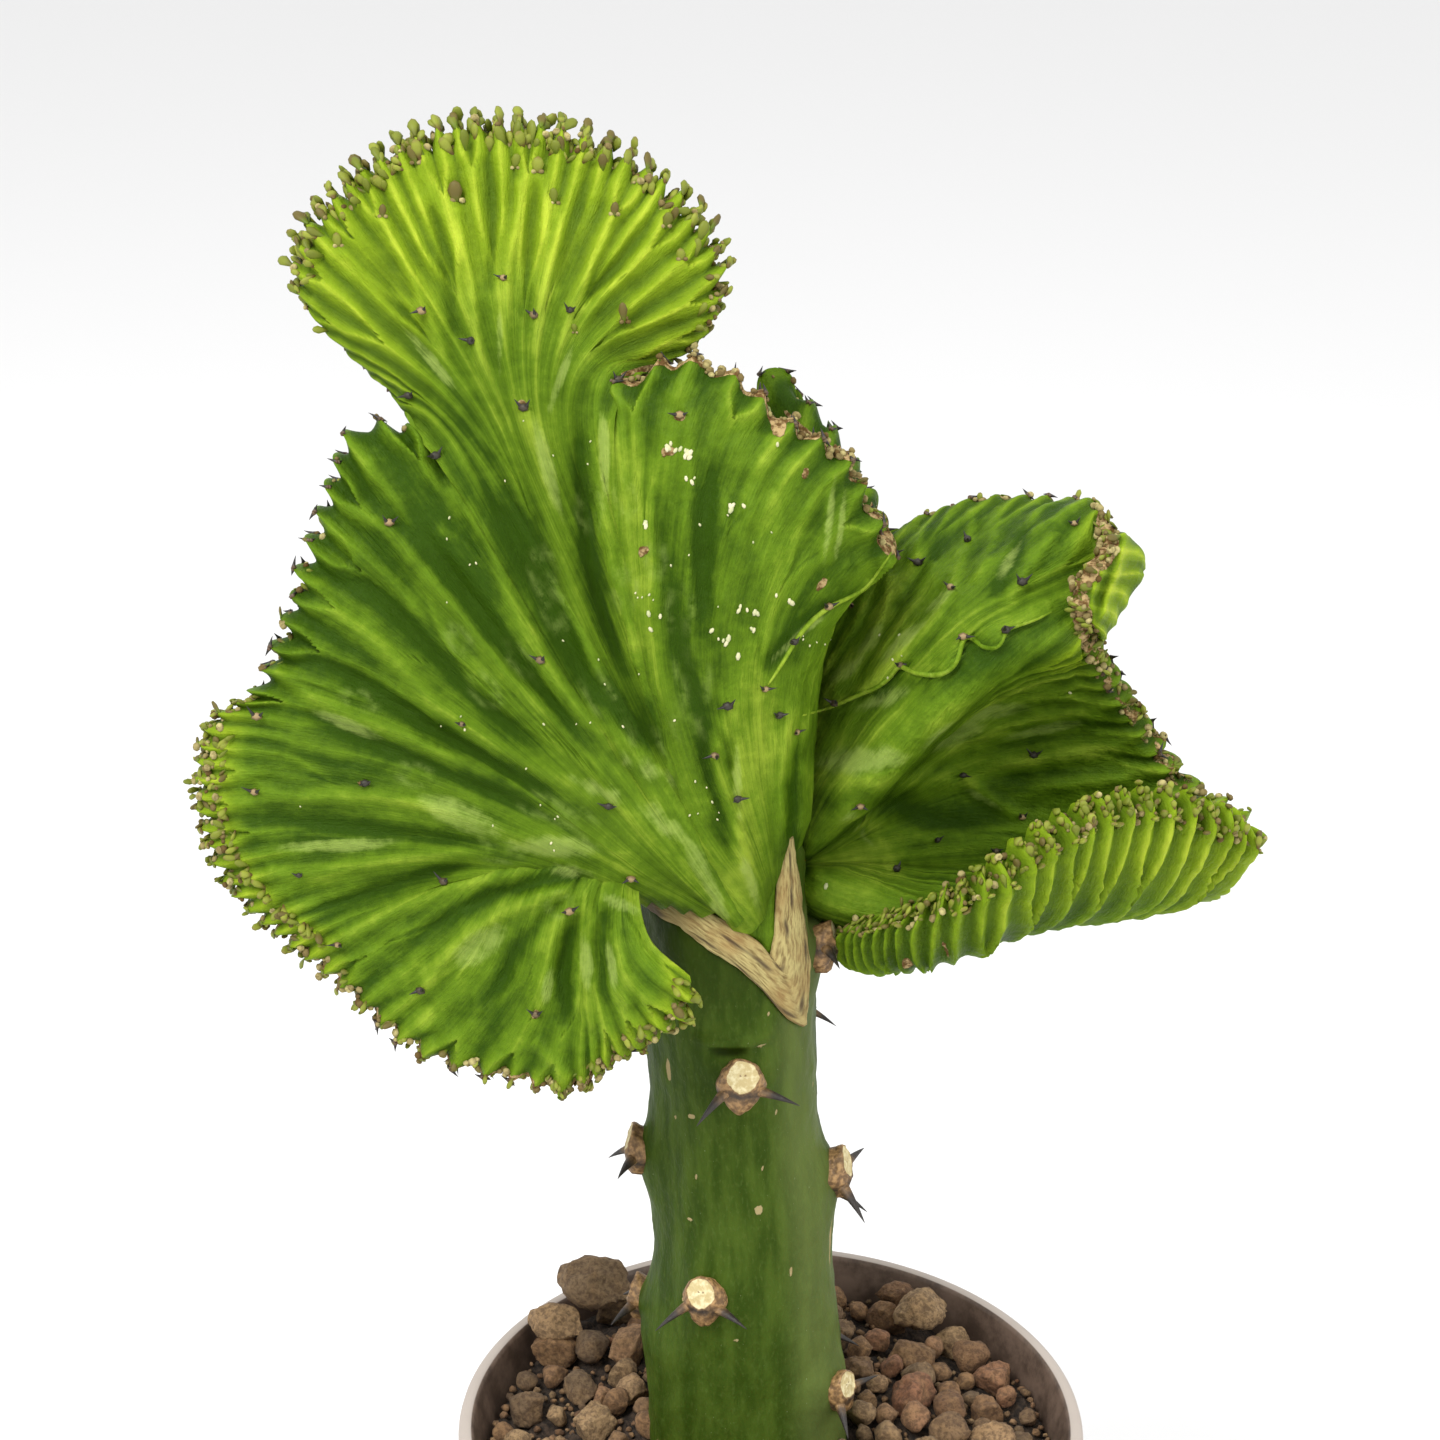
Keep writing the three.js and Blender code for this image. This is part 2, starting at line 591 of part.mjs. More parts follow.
function spinePair([height, turn, size], grow) {
  const angle = THREE.MathUtils.degToRad(turn);
  const outward = new THREE.Vector3(Math.cos(angle), Math.sin(angle), 0);
  const { x, y } = stemAt(height);
  const seat = new THREE.Vector3(x, y, height).addScaledVector(outward, stemRadius(height, angle));
  const basis = new THREE.Matrix4().makeBasis(
    new THREE.Vector3(-Math.sin(angle), Math.cos(angle), 0),
    new THREE.Vector3(0, 0, 1),
    outward,
  );
  basis.setPosition(seat);
  const radius = PAD_RADIUS * size + grow;
  const pad = new THREE.SphereGeometry(radius, 8, 6).scale(1, 1.25, (PAD_THICKNESS + grow) / radius);
  let pair = toSolid(pad.applyMatrix4(basis));
  for (const side of [-1, 1]) {
    const length = SPINE_LENGTH * size + 2 * grow;
    const spine = new THREE.ConeGeometry(SPINE_ROOT_RADIUS * size + grow, length, 5);
    spine.translate(0, length / 2 - grow, 0);
    spine.applyQuaternion(
      new THREE.Quaternion().setFromUnitVectors(
        new THREE.Vector3(0, 1, 0),
        new THREE.Vector3(side * 0.8, -0.28, 0.62).normalize(),
      ),
    );
    spine.translate(side * 1.8 * size, -1.2 * size, 0.2);
    pair = pair.add(toSolid(spine.applyMatrix4(basis)));
  }
  return pair;
}

// Put the pieces together, each cut clear of the one that it rests in
const group = new THREE.Group();

function addPiece(name, solid, material) {
  const mesh = new THREE.Mesh(toGeometry(solid), material);
  mesh.name = name;
  group.add(mesh);
}

const materials = {
  pot: new THREE.MeshStandardMaterial({ color: "#b3aaa0", roughness: 0.6, metalness: 0 }),
  soil: new THREE.MeshStandardMaterial({ color: "#2f241b", roughness: 0.98, metalness: 0 }),
  stone: new THREE.MeshStandardMaterial({ color: "#7a5d4a", roughness: 0.95, metalness: 0 }),
  stem: new THREE.MeshStandardMaterial({ color: "#3f6b2c", roughness: 0.5, metalness: 0 }),
  callus: new THREE.MeshStandardMaterial({ color: "#b99b6c", roughness: 0.85, metalness: 0 }),
  spine: new THREE.MeshStandardMaterial({ color: "#6b5038", roughness: 0.6, metalness: 0 }),
  crest: new THREE.MeshStandardMaterial({ color: "#5c9420", roughness: 0.45, metalness: 0 }),
};

const outerCut = throughCut(CUT_OUTER);
const innerCut = throughCut(CUT_INNER);
const clearStem = stemSolid(GAP);
const rootsOf = (grow) => Array.from({ length: ROOT_COUNT }, (_, i) => rootSolid(i, grow));

let rootstock = stemSolid(0).subtract(throughCut(grownOutline(CUT_OUTER, GAP)));
for (const root of rootsOf(0)) rootstock = rootstock.add(root);
rootstock = largestBody(rootstock);

const callusRing = stemSolid(CALLUS_PROUD).intersect(outerCut).subtract(throughCut(grownOutline(CUT_INNER, GAP)));
const belowTop = toSolid(new THREE.BoxGeometry(90, 90, 60).translate(0, 0, CALLUS_TOP - 30));
const callus = largestBody(callusRing.intersect(belowTop));

let crest = stemSolid(-0.2).intersect(innerCut);
for (const sheet of CREST_SHEETS) crest = crest.add(crestSheet(sheet));
for (const tooth of CREST_TEETH) crest = crest.add(toothSolid(tooth));
let keepClear = stemSolid(CALLUS_PROUD + GAP).subtract(throughCut(grownOutline(CUT_INNER, -GAP / 2)));
for (const cushion of SPINE_CUSHIONS) keepClear = keepClear.add(spinePair(cushion, GAP));
crest = largestBody(crest.subtract(keepClear));

const stones = layStones();
let soil = soilSolid().subtract(clearStem);
for (const root of rootsOf(GAP)) soil = soil.subtract(root);
for (const stone of stones) soil = soil.subtract(stoneSolid(stone, 1.06));
soil = largestBody(soil);

addPiece("pot", potSolid(), materials.pot);
addPiece("soil", soil, materials.soil);
addPiece("rootstock", rootstock, materials.stem);
addPiece("graft_callus", callus, materials.callus);
addPiece("crest", crest, materials.crest);
SPINE_CUSHIONS.forEach((cushion, i) => {
  addPiece(`spine_pair_${i + 1}`, largestBody(spinePair(cushion, 0).subtract(clearStem)), materials.spine);
});
stones.forEach((stone, i) => addPiece(`stone_${i + 1}`, stoneSolid(stone, 1), materials.stone));

export default group;
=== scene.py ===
# %% [markdown]
# # A potted coral cactus
#
# A coral cactus is two plants grown as one. The lower one, the rootstock, is an upright green spurge with
# pairs of spines. The upper one, the scion, is another spurge whose growing point has widened into a line, so
# that it grows as a pleated fan, a crest, in place of a stem. The scion is cut to a wedge, set in a V cut in
# the rootstock, and the cut heals with a tan corky lip, the callus. The plant stands in a round nursery pot,
# and lava stones cover the soil.
#
# The frame comes first. It holds every piece at its real size and place, in metres, with +Z up.

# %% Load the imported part
import math

import bmesh
import bpy
import numpy as np
from mathutils import Matrix, Vector
from mathutils.bvhtree import BVHTree


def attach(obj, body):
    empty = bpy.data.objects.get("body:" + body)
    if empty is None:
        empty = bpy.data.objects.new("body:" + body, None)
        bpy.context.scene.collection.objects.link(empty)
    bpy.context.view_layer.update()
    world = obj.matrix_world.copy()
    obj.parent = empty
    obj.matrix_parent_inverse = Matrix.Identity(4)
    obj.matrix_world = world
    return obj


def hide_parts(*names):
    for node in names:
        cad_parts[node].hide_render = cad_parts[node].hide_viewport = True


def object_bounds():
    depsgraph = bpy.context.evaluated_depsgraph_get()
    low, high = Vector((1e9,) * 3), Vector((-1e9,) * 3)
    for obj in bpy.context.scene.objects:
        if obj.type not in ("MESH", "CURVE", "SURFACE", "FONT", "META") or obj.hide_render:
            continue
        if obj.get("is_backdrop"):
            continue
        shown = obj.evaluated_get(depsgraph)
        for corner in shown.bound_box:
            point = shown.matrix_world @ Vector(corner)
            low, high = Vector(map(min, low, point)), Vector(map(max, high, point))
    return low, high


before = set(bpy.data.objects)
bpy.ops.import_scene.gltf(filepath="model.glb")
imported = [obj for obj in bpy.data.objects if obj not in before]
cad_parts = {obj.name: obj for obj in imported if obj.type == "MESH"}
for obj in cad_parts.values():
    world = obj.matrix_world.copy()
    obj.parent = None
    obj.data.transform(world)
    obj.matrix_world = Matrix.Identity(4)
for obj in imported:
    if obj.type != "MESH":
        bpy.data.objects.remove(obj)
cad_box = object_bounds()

MM = 0.001
print(len(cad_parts), "nodes, from", tuple(cad_box[0]), "to", tuple(cad_box[1]))

# %% [markdown]
# ## The view
#
# A photographer would stand about half a metre off with a short telephoto lens and look down on the plant by
# some twenty degrees. The same view is used for a second job. Places on the fan are easiest to name as points
# of the picture, 1440 points wide and high, with a depth behind the pot's axis. `sightline` turns such a
# point into a place, and `picture_of` turns places back into points of the picture.

# %% The camera, and places named by points of the picture
PICTURE = 1440
PIXEL = MM / 6
VIEW_CENTRE = np.array([-9.3, 0, 238]) * MM
VIEW_DISTANCE = 480 * MM
VIEW_TILT = math.radians(22)
SENSOR = 36

TOWARDS = np.array([0, -math.cos(VIEW_TILT), math.sin(VIEW_TILT)])
UPWARDS = np.array([0, math.sin(VIEW_TILT), math.cos(VIEW_TILT)])
RIGHTWARDS = np.array([1.0, 0, 0])
EYE = VIEW_CENTRE + VIEW_DISTANCE * TOWARDS


def sightline(px, py, back):
    """Places on the sight lines of picture points, back millimetres behind the pot's axis."""
    px, py, back = (np.atleast_1d(np.asarray(v, float)) for v in (px, py, back))
    on_plane = VIEW_CENTRE + (px - PICTURE / 2)[:, None] * PIXEL * RIGHTWARDS
    on_plane = on_plane + (PICTURE / 2 - py)[:, None] * PIXEL * UPWARDS
    reach = (back * MM - EYE[1]) / (on_plane[:, 1] - EYE[1])
    return EYE + reach[:, None] * (on_plane - EYE)


def picture_of(places):
    """Points of the picture where places show."""
    offset = places - EYE
    depth = -offset @ TOWARDS
    scale = VIEW_DISTANCE / depth / PIXEL
    return np.stack([PICTURE / 2 + offset @ RIGHTWARDS * scale, PICTURE / 2 - offset @ UPWARDS * scale], -1)


camera = bpy.data.objects.new("camera", bpy.data.cameras.new("camera"))
bpy.context.scene.collection.objects.link(camera)
camera.location = EYE
camera.rotation_euler = (math.pi / 2 - VIEW_TILT, 0, 0)
camera.data.sensor_width = SENSOR
camera.data.lens = SENSOR * VIEW_DISTANCE / (PICTURE * PIXEL)
camera.data.clip_start = 0.01
bpy.context.scene.camera = camera
print("lens", round(camera.data.lens, 1), "mm, eye at", EYE.round(4))

# %% [markdown]
# ## Small tools for shapes
#
# Grown surfaces are smooth sums of simple swellings, so a few formulas do most of the work. `ease` is a soft
# step, `waves` is a smooth wrinkled field that is the same each time, and `from_line` measures how far points
# of the picture are from a line drawn through others.

# %% Formulas
# Each octave of a wrinkled field is finer and weaker than the one before by these factors.
FINER, WEAKER = 1.9, 0.55
CROSSING_WAVES = 4
WAVES_PEAK = 2.6
# Each wave is bent by a longer one, and both start anywhere in a full turn.
BEND_PITCH, BEND_HEIGHT = 0.7, 1.3
ANY_PHASE = 6.3


def ease(low, high, value):
    """0 below low, 1 above high and a soft step between."""
    t = np.clip((value - low) / (high - low), 0, 1)
    return t * t * (3 - 2 * t)


def waves(places, pitch, seed, octaves=3):
    """A wrinkled field between about -1 and 1: crossed waves whose directions come from the seed."""
    rng = np.random.default_rng(seed)
    total = np.zeros(len(places))
    for octave in range(octaves):
        for _ in range(CROSSING_WAVES):
            direction = rng.normal(size=3)
            direction *= 2 * math.pi / np.linalg.norm(direction) / pitch * FINER**octave
            bend = rng.normal(size=3)
            bend *= 2 * math.pi / np.linalg.norm(bend) / pitch * BEND_PITCH
            phase = places @ direction + rng.uniform(0, ANY_PHASE)
            phase += BEND_HEIGHT * np.sin(places @ bend + rng.uniform(0, ANY_PHASE))
            total += np.sin(phase) * WEAKER**octave
    return total / WAVES_PEAK


def from_line(points, line):
    """Distance of picture points from a line through corners, and how far along it they are, from 0 to 1."""
    line = np.asarray(line, float)
    best = np.full(len(points), np.inf)
    along = np.zeros(len(points))
    for i in range(len(line) - 1):
        start, step = line[i], line[i + 1] - line[i]
        t = np.clip((points - start) @ step / (step @ step), 0, 1)
        away = np.linalg.norm(points - start - t[:, None] * step, axis=1)
        nearer = away < best
        best = np.where(nearer, away, best)
        along = np.where(nearer, (i + t) / (len(line) - 1), along)
    return best, along


def rounded(line, rounds=2):
    """A line with its corners cut, once for each round, so that it runs as a soft curve."""
    line = np.asarray(line, float)
    for _ in range(rounds):
        before, after = line[:-1], line[1:]
        early, late = before * 0.75 + after * 0.25, before * 0.25 + after * 0.75
        inner = np.stack([early, late], 1).reshape(-1, line.shape[1])
        line = np.concatenate([line[:1], inner, line[-1:]])
    return line


def lengths_along(line):
    """How far along a line each of its points is."""
    return np.concatenate([[0], np.cumsum(np.linalg.norm(np.diff(line, axis=0), axis=1))])


def unit(vectors):
    """Vectors brought to length one."""
    return vectors / np.linalg.norm(vectors, axis=-1, keepdims=True)


def turn_of(step, steps):
    """The angle of a step round a full turn. The last step is the first again."""
    return 2 * math.pi * (step % steps) / steps

# %% [markdown]
# Most surfaces here start as a flat grid whose vertices are moved. `grid_mesh` makes the grid, `close_mesh`
# merges the places where it meets itself, and `finish_piece` puts a mesh in the scene, on the body that it
# rides. What changes over a surface is kept in attributes of its mesh, for the finishes to read.

# %% Helpers for meshes
def made_mesh(name, bm):
    """The mesh of a bmesh, which is freed."""
    mesh = bpy.data.meshes.new(name)
    bm.to_mesh(mesh)
    bm.free()
    return mesh


def write_attribute(mesh, name, values):
    """Writes a number or a vector for each vertex."""
    kind, field = ("FLOAT", "value") if values.ndim == 1 else ("FLOAT_VECTOR", "vector")
    attribute = mesh.attributes.new(name, kind, "POINT")
    attribute.data.foreach_set(field, values.astype(np.float32).ravel())


def write_looks(mesh, **looks):
    """Writes several attributes. One that is a single number is the same all over the mesh."""
    for name, value in looks.items():
        write_attribute(mesh, name, value if np.ndim(value) else np.full(len(mesh.vertices), float(value)))


def places_of(mesh):
    """The places of a mesh's vertices, in metres."""
    places = np.zeros(len(mesh.vertices) * 3, np.float32)
    mesh.vertices.foreach_get("co", places)
    return places.reshape(-1, 3).astype(float)


def move_to(mesh, places):
    """Moves a mesh's vertices to places in metres."""
    mesh.vertices.foreach_set("co", places.astype(np.float32).ravel())
    mesh.update()


def grid_mesh(name, columns, rows):
    """A flat grid of columns by rows vertices, and the column and row of each vertex."""
    bm = bmesh.new()
    bmesh.ops.create_grid(bm, x_segments=columns - 1, y_segments=rows - 1, size=1)
    mesh = made_mesh(name, bm)
    flat = places_of(mesh)
    column = np.rint((flat[:, 0] + 1) / 2 * (columns - 1)).astype(int)
    row = np.rint((flat[:, 1] + 1) / 2 * (rows - 1)).astype(int)
    return mesh, column, row


def close_mesh(mesh, distance=1e-6):
    """Merges the places where a bent grid meets itself, turns all faces outwards and counts its odd edges."""
    bm = bmesh.new()
    bm.from_mesh(mesh)
    bmesh.ops.remove_doubles(bm, verts=bm.verts, dist=distance)
    bmesh.ops.recalc_face_normals(bm, faces=bm.faces)
    odd_edges = sum(1 for edge in bm.edges if len(edge.link_faces) != 2)
    bm.to_mesh(mesh)
    bm.free()
    return odd_edges


def finish_piece(name, mesh, material, replaced=()):
    """Puts a mesh in the scene as a piece of the plant."""
    piece = bpy.data.objects.new(name, mesh)
    bpy.context.scene.collection.objects.link(piece)
    mesh.materials.clear()
    mesh.materials.append(material)
    mesh.polygons.foreach_set("use_smooth", [True] * len(mesh.polygons))
    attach(piece, "root")
    if replaced:
        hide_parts(*replaced)
    print(name, len(mesh.vertices), "vertices,", sum(len(p.vertices) - 2 for p in mesh.polygons), "triangles")

# %% [markdown]
# ## Small tools for finishes
#
# A finish is a graph of shader nodes. Written out link by link, its sums are hard to read, so a `Signal`
# wraps one output of a node and takes part in ordinary arithmetic: `1 - mask * 0.5` adds the Math nodes
# itself. Colours are mixed by Mix nodes, and every other node comes from the one method `node`.

# %% Shader arithmetic
class Signal:
    """One output of a node in a finish, that adds Math nodes when it is reckoned with."""

    def __init__(self, finish, socket):
        self.finish = finish
        self.socket = socket

    def math(self, operation, *values):
        return self.finish.node("ShaderNodeMath", {"operation": operation}, dict(enumerate(values)))

    def __add__(self, other):
        return self.math("ADD", self, other)

    def __radd__(self, other):
        return self.math("ADD", other, self)

    def __sub__(self, other):
        return self.math("SUBTRACT", self, other)

    def __rsub__(self, other):
        return self.math("SUBTRACT", other, self)

    def __mul__(self, other):
        return self.math("MULTIPLY", self, other)

    def __rmul__(self, other):
        return self.math("MULTIPLY", other, self)

    def step(self, low, high):
        """A soft step of this value, from 0 at low to 1 at high."""
        settings = {"interpolation_type": "SMOOTHSTEP"}
        return self.finish.node("ShaderNodeMapRange", settings, {0: self, 1: low, 2: high, 3: 0.0, 4: 1.0})

# %% [markdown]
# A `Finish` is a material in the making. Its methods add the nodes that these finishes need, and `surface`
# ends it.

# %% A finish
class Finish:
    """A material in the making."""

    def __init__(self, name):
        self.material = bpy.data.materials.new(name)
        self.material.use_nodes = True
        self.tree = self.material.node_tree
        self.tree.nodes.clear()
        self.places = self.node("ShaderNodeTexCoord", out="Object")

    def node(self, kind, settings=None, inputs=None, out=0):
        """Adds a node: its settings first, then its sockets, by name or number, as values or as signals."""
        made = self.tree.nodes.new(kind)
        for name, value in (settings or {}).items():
            if name == "stops":
                ramp = made.color_ramp.elements
                while len(ramp) < len(value):
                    ramp.new(1.0)
                for stop, (position, colour) in zip(ramp, value):
                    stop.position = position
                    stop.color = (*colour, 1)
            else:
                setattr(made, name, value)
        for key, value in (inputs or {}).items():
            if isinstance(value, Signal):
                self.tree.links.new(value.socket, made.inputs[key])
            elif isinstance(value, tuple) and made.inputs[key].type == "RGBA":
                made.inputs[key].default_value = (*value, 1)
            else:
                made.inputs[key].default_value = value
        return Signal(self, made.outputs[out])

    def attribute(self, name, out="Fac"):
        return self.node("ShaderNodeAttribute", {"attribute_name": name}, out=out)

    def noise(self, scale, detail=3.0, where=None, roughness=0.55, distortion=0.0):
        """A cloudy value around 0.5, scale cycles to the metre."""
        inputs = {"Vector": where or self.places, "Scale": scale, "Detail": detail, "Roughness": roughness}
        inputs["Distortion"] = distortion
        return self.node("ShaderNodeTexNoise", inputs=inputs)

    def mix(self, factor, first, second):
        """A colour between two."""
        return self.node("ShaderNodeMix", {"data_type": "RGBA"}, {0: factor, 6: first, 7: second}, out=2)

    def stretched(self, vector, scale):
        """A vector with each of its numbers times its own scale."""
        return self.node("ShaderNodeVectorMath", {"operation": "MULTIPLY"}, {0: vector, 1: scale})

    def bump(self, height, distance, strength):
        """A normal that follows a height. The distance is in metres."""
        inputs = {"Height": height, "Distance": distance, "Strength": strength}
        return self.node("ShaderNodeBump", inputs=inputs)

    def surface(self, **inputs):
        """Ends the finish with its shader. Names have underscores for spaces."""
        named = {name.replace("_", " "): value for name, value in inputs.items()}
        shader = self.node("ShaderNodeBsdfPrincipled", inputs=named)
        output = self.tree.nodes.new("ShaderNodeOutputMaterial")
        self.tree.links.new(shader.socket, output.inputs["Surface"])
        return self.material

# %% [markdown]
# ## The crest: its middle surface
#
# The fan is one sheet, and its ribs all start at the graft and run out to the growing edge. So the sheet is
# drawn as a list of ribs in order round the fan. Each one names its end at the edge, its middle and, where it
# passes a neck or curls over, one more place, and all of them share a short line of roots in the graft.
# Curves through the places of each rib, and from rib to rib, give the whole surface. That keeps the furrows,
# the veins and the leaf bumps running along the ribs, as they grow.

# %% The ribs
# For each rib its growing edge (picture x, y, depth), its middle, and where it passes a neck or curls over
RIBS = [
    # lower left lobe, hanging in front of the stem
    [690, 976, -30, 643, 861, -15, 649, 936, -26],
    [692, 1006, -31, 632, 861, -15, 634, 957, -28],
    [657, 1034, -30, 624, 862, -16, 619, 972, -28],
    [618, 1056, -28, 613, 864, -16, 604, 983, -27],
    [572, 1090, -26, 601, 866, -17, 585, 995, -25],
    [520, 1078, -24, 586, 868, -17, 558, 993, -23],
    [460, 1066, -22, 563, 872, -18, 522, 980, -21],
    [405, 1042, -20, 537, 874, -17, 480, 965, -19],
    [350, 992, -18, 506, 874, -16, 434, 930, -18],
    [300, 948, -16, 472, 880, -15],
    [243, 900, -14, 460, 855, -14],
    [212, 845, -13, 455, 830, -14],
    [200, 780, -12, 455, 800, -14],
    [212, 722, -11, 462, 772, -14],
    # left edge, up to the notch
    [255, 688, -10, 476, 750, -14],
    [285, 622, -9, 490, 728, -14],
    [308, 552, -8, 505, 706, -14],
    [328, 492, -7, 520, 686, -14],
    [358, 425, -6, 538, 666, -14],
    [420, 427, -5, 556, 652, -13],
    # top lobe, through its neck
    [402, 385, -2, 564, 640, -13, 436, 424, -6],
    [348, 340, 0, 570, 632, -13, 447, 416, -6],
    [302, 293, 2, 576, 626, -12, 459, 409, -6],
    [306, 241, 3, 582, 622, -12, 471, 402, -6],
    [340, 194, 4, 588, 618, -12, 483, 396, -6],
    [392, 154, 5, 594, 615, -12, 496, 391, -6],
    [453, 131, 6, 600, 613, -12, 509, 387, -6],
    [521, 127, 7, 607, 611, -12, 522, 384, -6],
    [588, 142, 7, 614, 610, -12, 536, 382, -6],
    [646, 172, 6, 621, 609, -12, 550, 380, -6],
    [696, 216, 5, 628, 608, -12, 564, 379, -6],
    [720, 272, 4, 635, 608, -12, 578, 379, -6],
    [706, 322, 3, 642, 608, -13, 592, 380, -6],
    [668, 352, 2, 648, 608, -13, 606, 382, -6],
    # dried shoulder on the right
    [622, 381, -6, 655, 609, -14],
    [680, 357, -8, 666, 610, -15],
    [735, 372, -9, 684, 614, -16],
    [790, 420, -9, 708, 622, -16],
    [846, 455, -8, 740, 634, -15],
    [890, 547, -3, 778, 662, -11],
    # pleat folded behind
    [876, 500, 12, 792, 656, 0],
    [828, 420, 22, 788, 640, 8],
    [772, 372, 27, 780, 630, 15],
    [830, 440, 33, 792, 640, 21],
    [886, 545, 33, 812, 655, 20],
    # right fan, upper edge
    [930, 522, 29, 838, 656, 16],
    [990, 503, 25, 872, 650, 11],
    [1050, 505, 20, 915, 640, 5],
    [1100, 512, 13, 958, 632, -1],
    [1106, 545, -2, 985, 640, -5, 1126, 560, 7],
    [1080, 585, -8, 1000, 652, -7, 1112, 595, 2],
    [1082, 622, -8, 990, 668, -4, 1090, 634, -4],
    [1112, 672, 1, 965, 700, 7],
    [1150, 730, 6, 955, 745, 14],
    [1190, 783, 6, 965, 790, 16],
    # lower lip, curled up towards the viewer
    [1226, 808, 2, 1000, 835, 14, 1165, 850, 11],
    [1250, 834, -6, 1010, 862, 12, 1196, 880, 4],
    [1222, 816, -14, 1002, 880, 9, 1158, 892, -3],
    [1172, 801, -19, 984, 894, 5, 1120, 898, -10],
    [1112, 804, -24, 962, 904, 1, 1075, 901, -15],
    [1050, 832, -29, 942, 912, -3, 1026, 910, -20],
    [990, 876, -33, 920, 920, -7, 975, 934, -24],
    [930, 904, -28, 900, 924, -6, 922, 950, -20],
    [872, 921, -13, 870, 926, -1, 872, 954, -8],
    [845, 924, -1, 846, 918, 3, 846, 944, 2],
    [826, 920, 4, 824, 905, 5, 826, 930, 5],
]
# Where the ribs leave the graft: rib number, picture x, y, depth
ROOTS = [
    [0, 668, 851, -11],
    [6, 690, 859, -13],
    [14, 727, 910, -14],
    [20, 744, 933, -14],
    [34, 751, 938, -13],
    [40, 757, 905, -9],
    [45, 774, 880, 0],
    [50, 776, 870, 3],
    [65, 776, 874, 1],
]
# A rib with no fourth place gets one from the quadratic through the others, near its edge.
BELLY_WEIGHTS = [-0.105, 0.51, 0.595]

# %% [markdown]
# A rib is a curve through its four places. From rib to rib the curves run on, so that the fan is one surface.

# %% Curves through the ribs
FINE_RIBS = 2601


def rib_places():
    """The root, middle, belly and edge of each rib, as an array of ribs by 4 by 3."""
    roots = np.array(ROOTS, float)
    lines = []
    for number, rib in enumerate(RIBS):
        after = int(np.clip(np.searchsorted(roots[:, 0], number), 1, len(roots) - 1))
        share = ease(roots[after - 1, 0], roots[after, 0], number)
        root = sightline(*(roots[after - 1, 1:] * (1 - share) + roots[after, 1:] * share))[0]
        edge = sightline(*rib[:3])[0]
        middle = sightline(*rib[3:6])[0]
        belly = np.array(BELLY_WEIGHTS) @ np.array([root, middle, edge])
        if len(rib) > 6:
            belly = sightline(*rib[6:9])[0]
        lines.append([root, middle, belly, edge])
    return np.array(lines)


def across_ribs(lines, at):
    """The four places of ribs at fractional numbers, by Catmull-Rom curves from rib to rib."""
    last = len(lines) - 1
    i = np.clip(np.floor(at).astype(int), 0, last - 1)
    t = (at - i)[:, None, None]
    a, b, c, d = (lines[np.clip(i + k, 0, last)] for k in (-1, 0, 1, 2))
    low = ((2 - t) * t - 1) * t * a + ((3 * t - 5) * t * t + 2) * b
    return 0.5 * (low + ((4 - 3 * t) * t + 1) * t * c + (t - 1) * t * t * d)


def along_ribs(lines, shares):
    """Places along each rib at shares of its length: a centripetal Catmull-Rom curve through its four."""
    before = 2 * lines[:, :1] - lines[:, 1:2]
    beyond = 2 * lines[:, 3:] - lines[:, 2:3]
    p = np.concatenate([before, lines, beyond], axis=1)
    gap = np.sqrt(np.linalg.norm(np.diff(p, axis=1), axis=2))[..., None]
    out = np.zeros((len(lines), len(shares), 3))
    for column, share in enumerate(shares):
        k = min(int(share * 3), 2)
        w = share * 3 - k
        a, b, c, d = (p[:, k + j] for j in range(4))
        e, f, g = (gap[:, k + j] for j in range(3))
        leave = ((b - a) / e - (c - a) / (e + f) + (c - b) / f) * f
        arrive = ((c - b) / f - (d - b) / (f + g) + (d - c) / g) * f
        out[:, column] = (2 * w**3 - 3 * w**2 + 1) * b + (w**3 - 2 * w**2 + w) * leave
        out[:, column] += (3 * w**2 - 2 * w**3) * c + (w**3 - w**2) * arrive
    return out


rib_lines = rib_places()
fine = np.linspace(0, len(RIBS) - 1, FINE_RIBS)
edge_length = lengths_along(across_ribs(rib_lines, fine)[:, 3])
print(len(RIBS), "ribs along", round(edge_length[-1] / MM), "mm of growing edge")

# %% [markdown]
# ## The crest: ribs that join
#
# At the growing edge the fan is a row of fingers some three millimetres apart. Further in, fingers join in
# twos and threes to make ridges, and those join again, so that their spacing stays in step with the age of
# the tissue. This is a tree seen from its twigs: each twig's line slides to the middle of its group over some
# distance from the edge. The height at a place then comes from how far it lies between the two ridge lines
# beside it.

# %% Ridge lines
# Where ridges join, in mm from the edge: the nearest start, the furthest end, and how many may join
PAIRS, PAIRS_AND_THREES = (1, 2, 2), (1, 2, 2, 2, 3)
JOINS = [(1.5, 9, PAIRS), (9, 26, PAIRS_AND_THREES), (28, 52, PAIRS_AND_THREES), (55, 80, PAIRS_AND_THREES)]


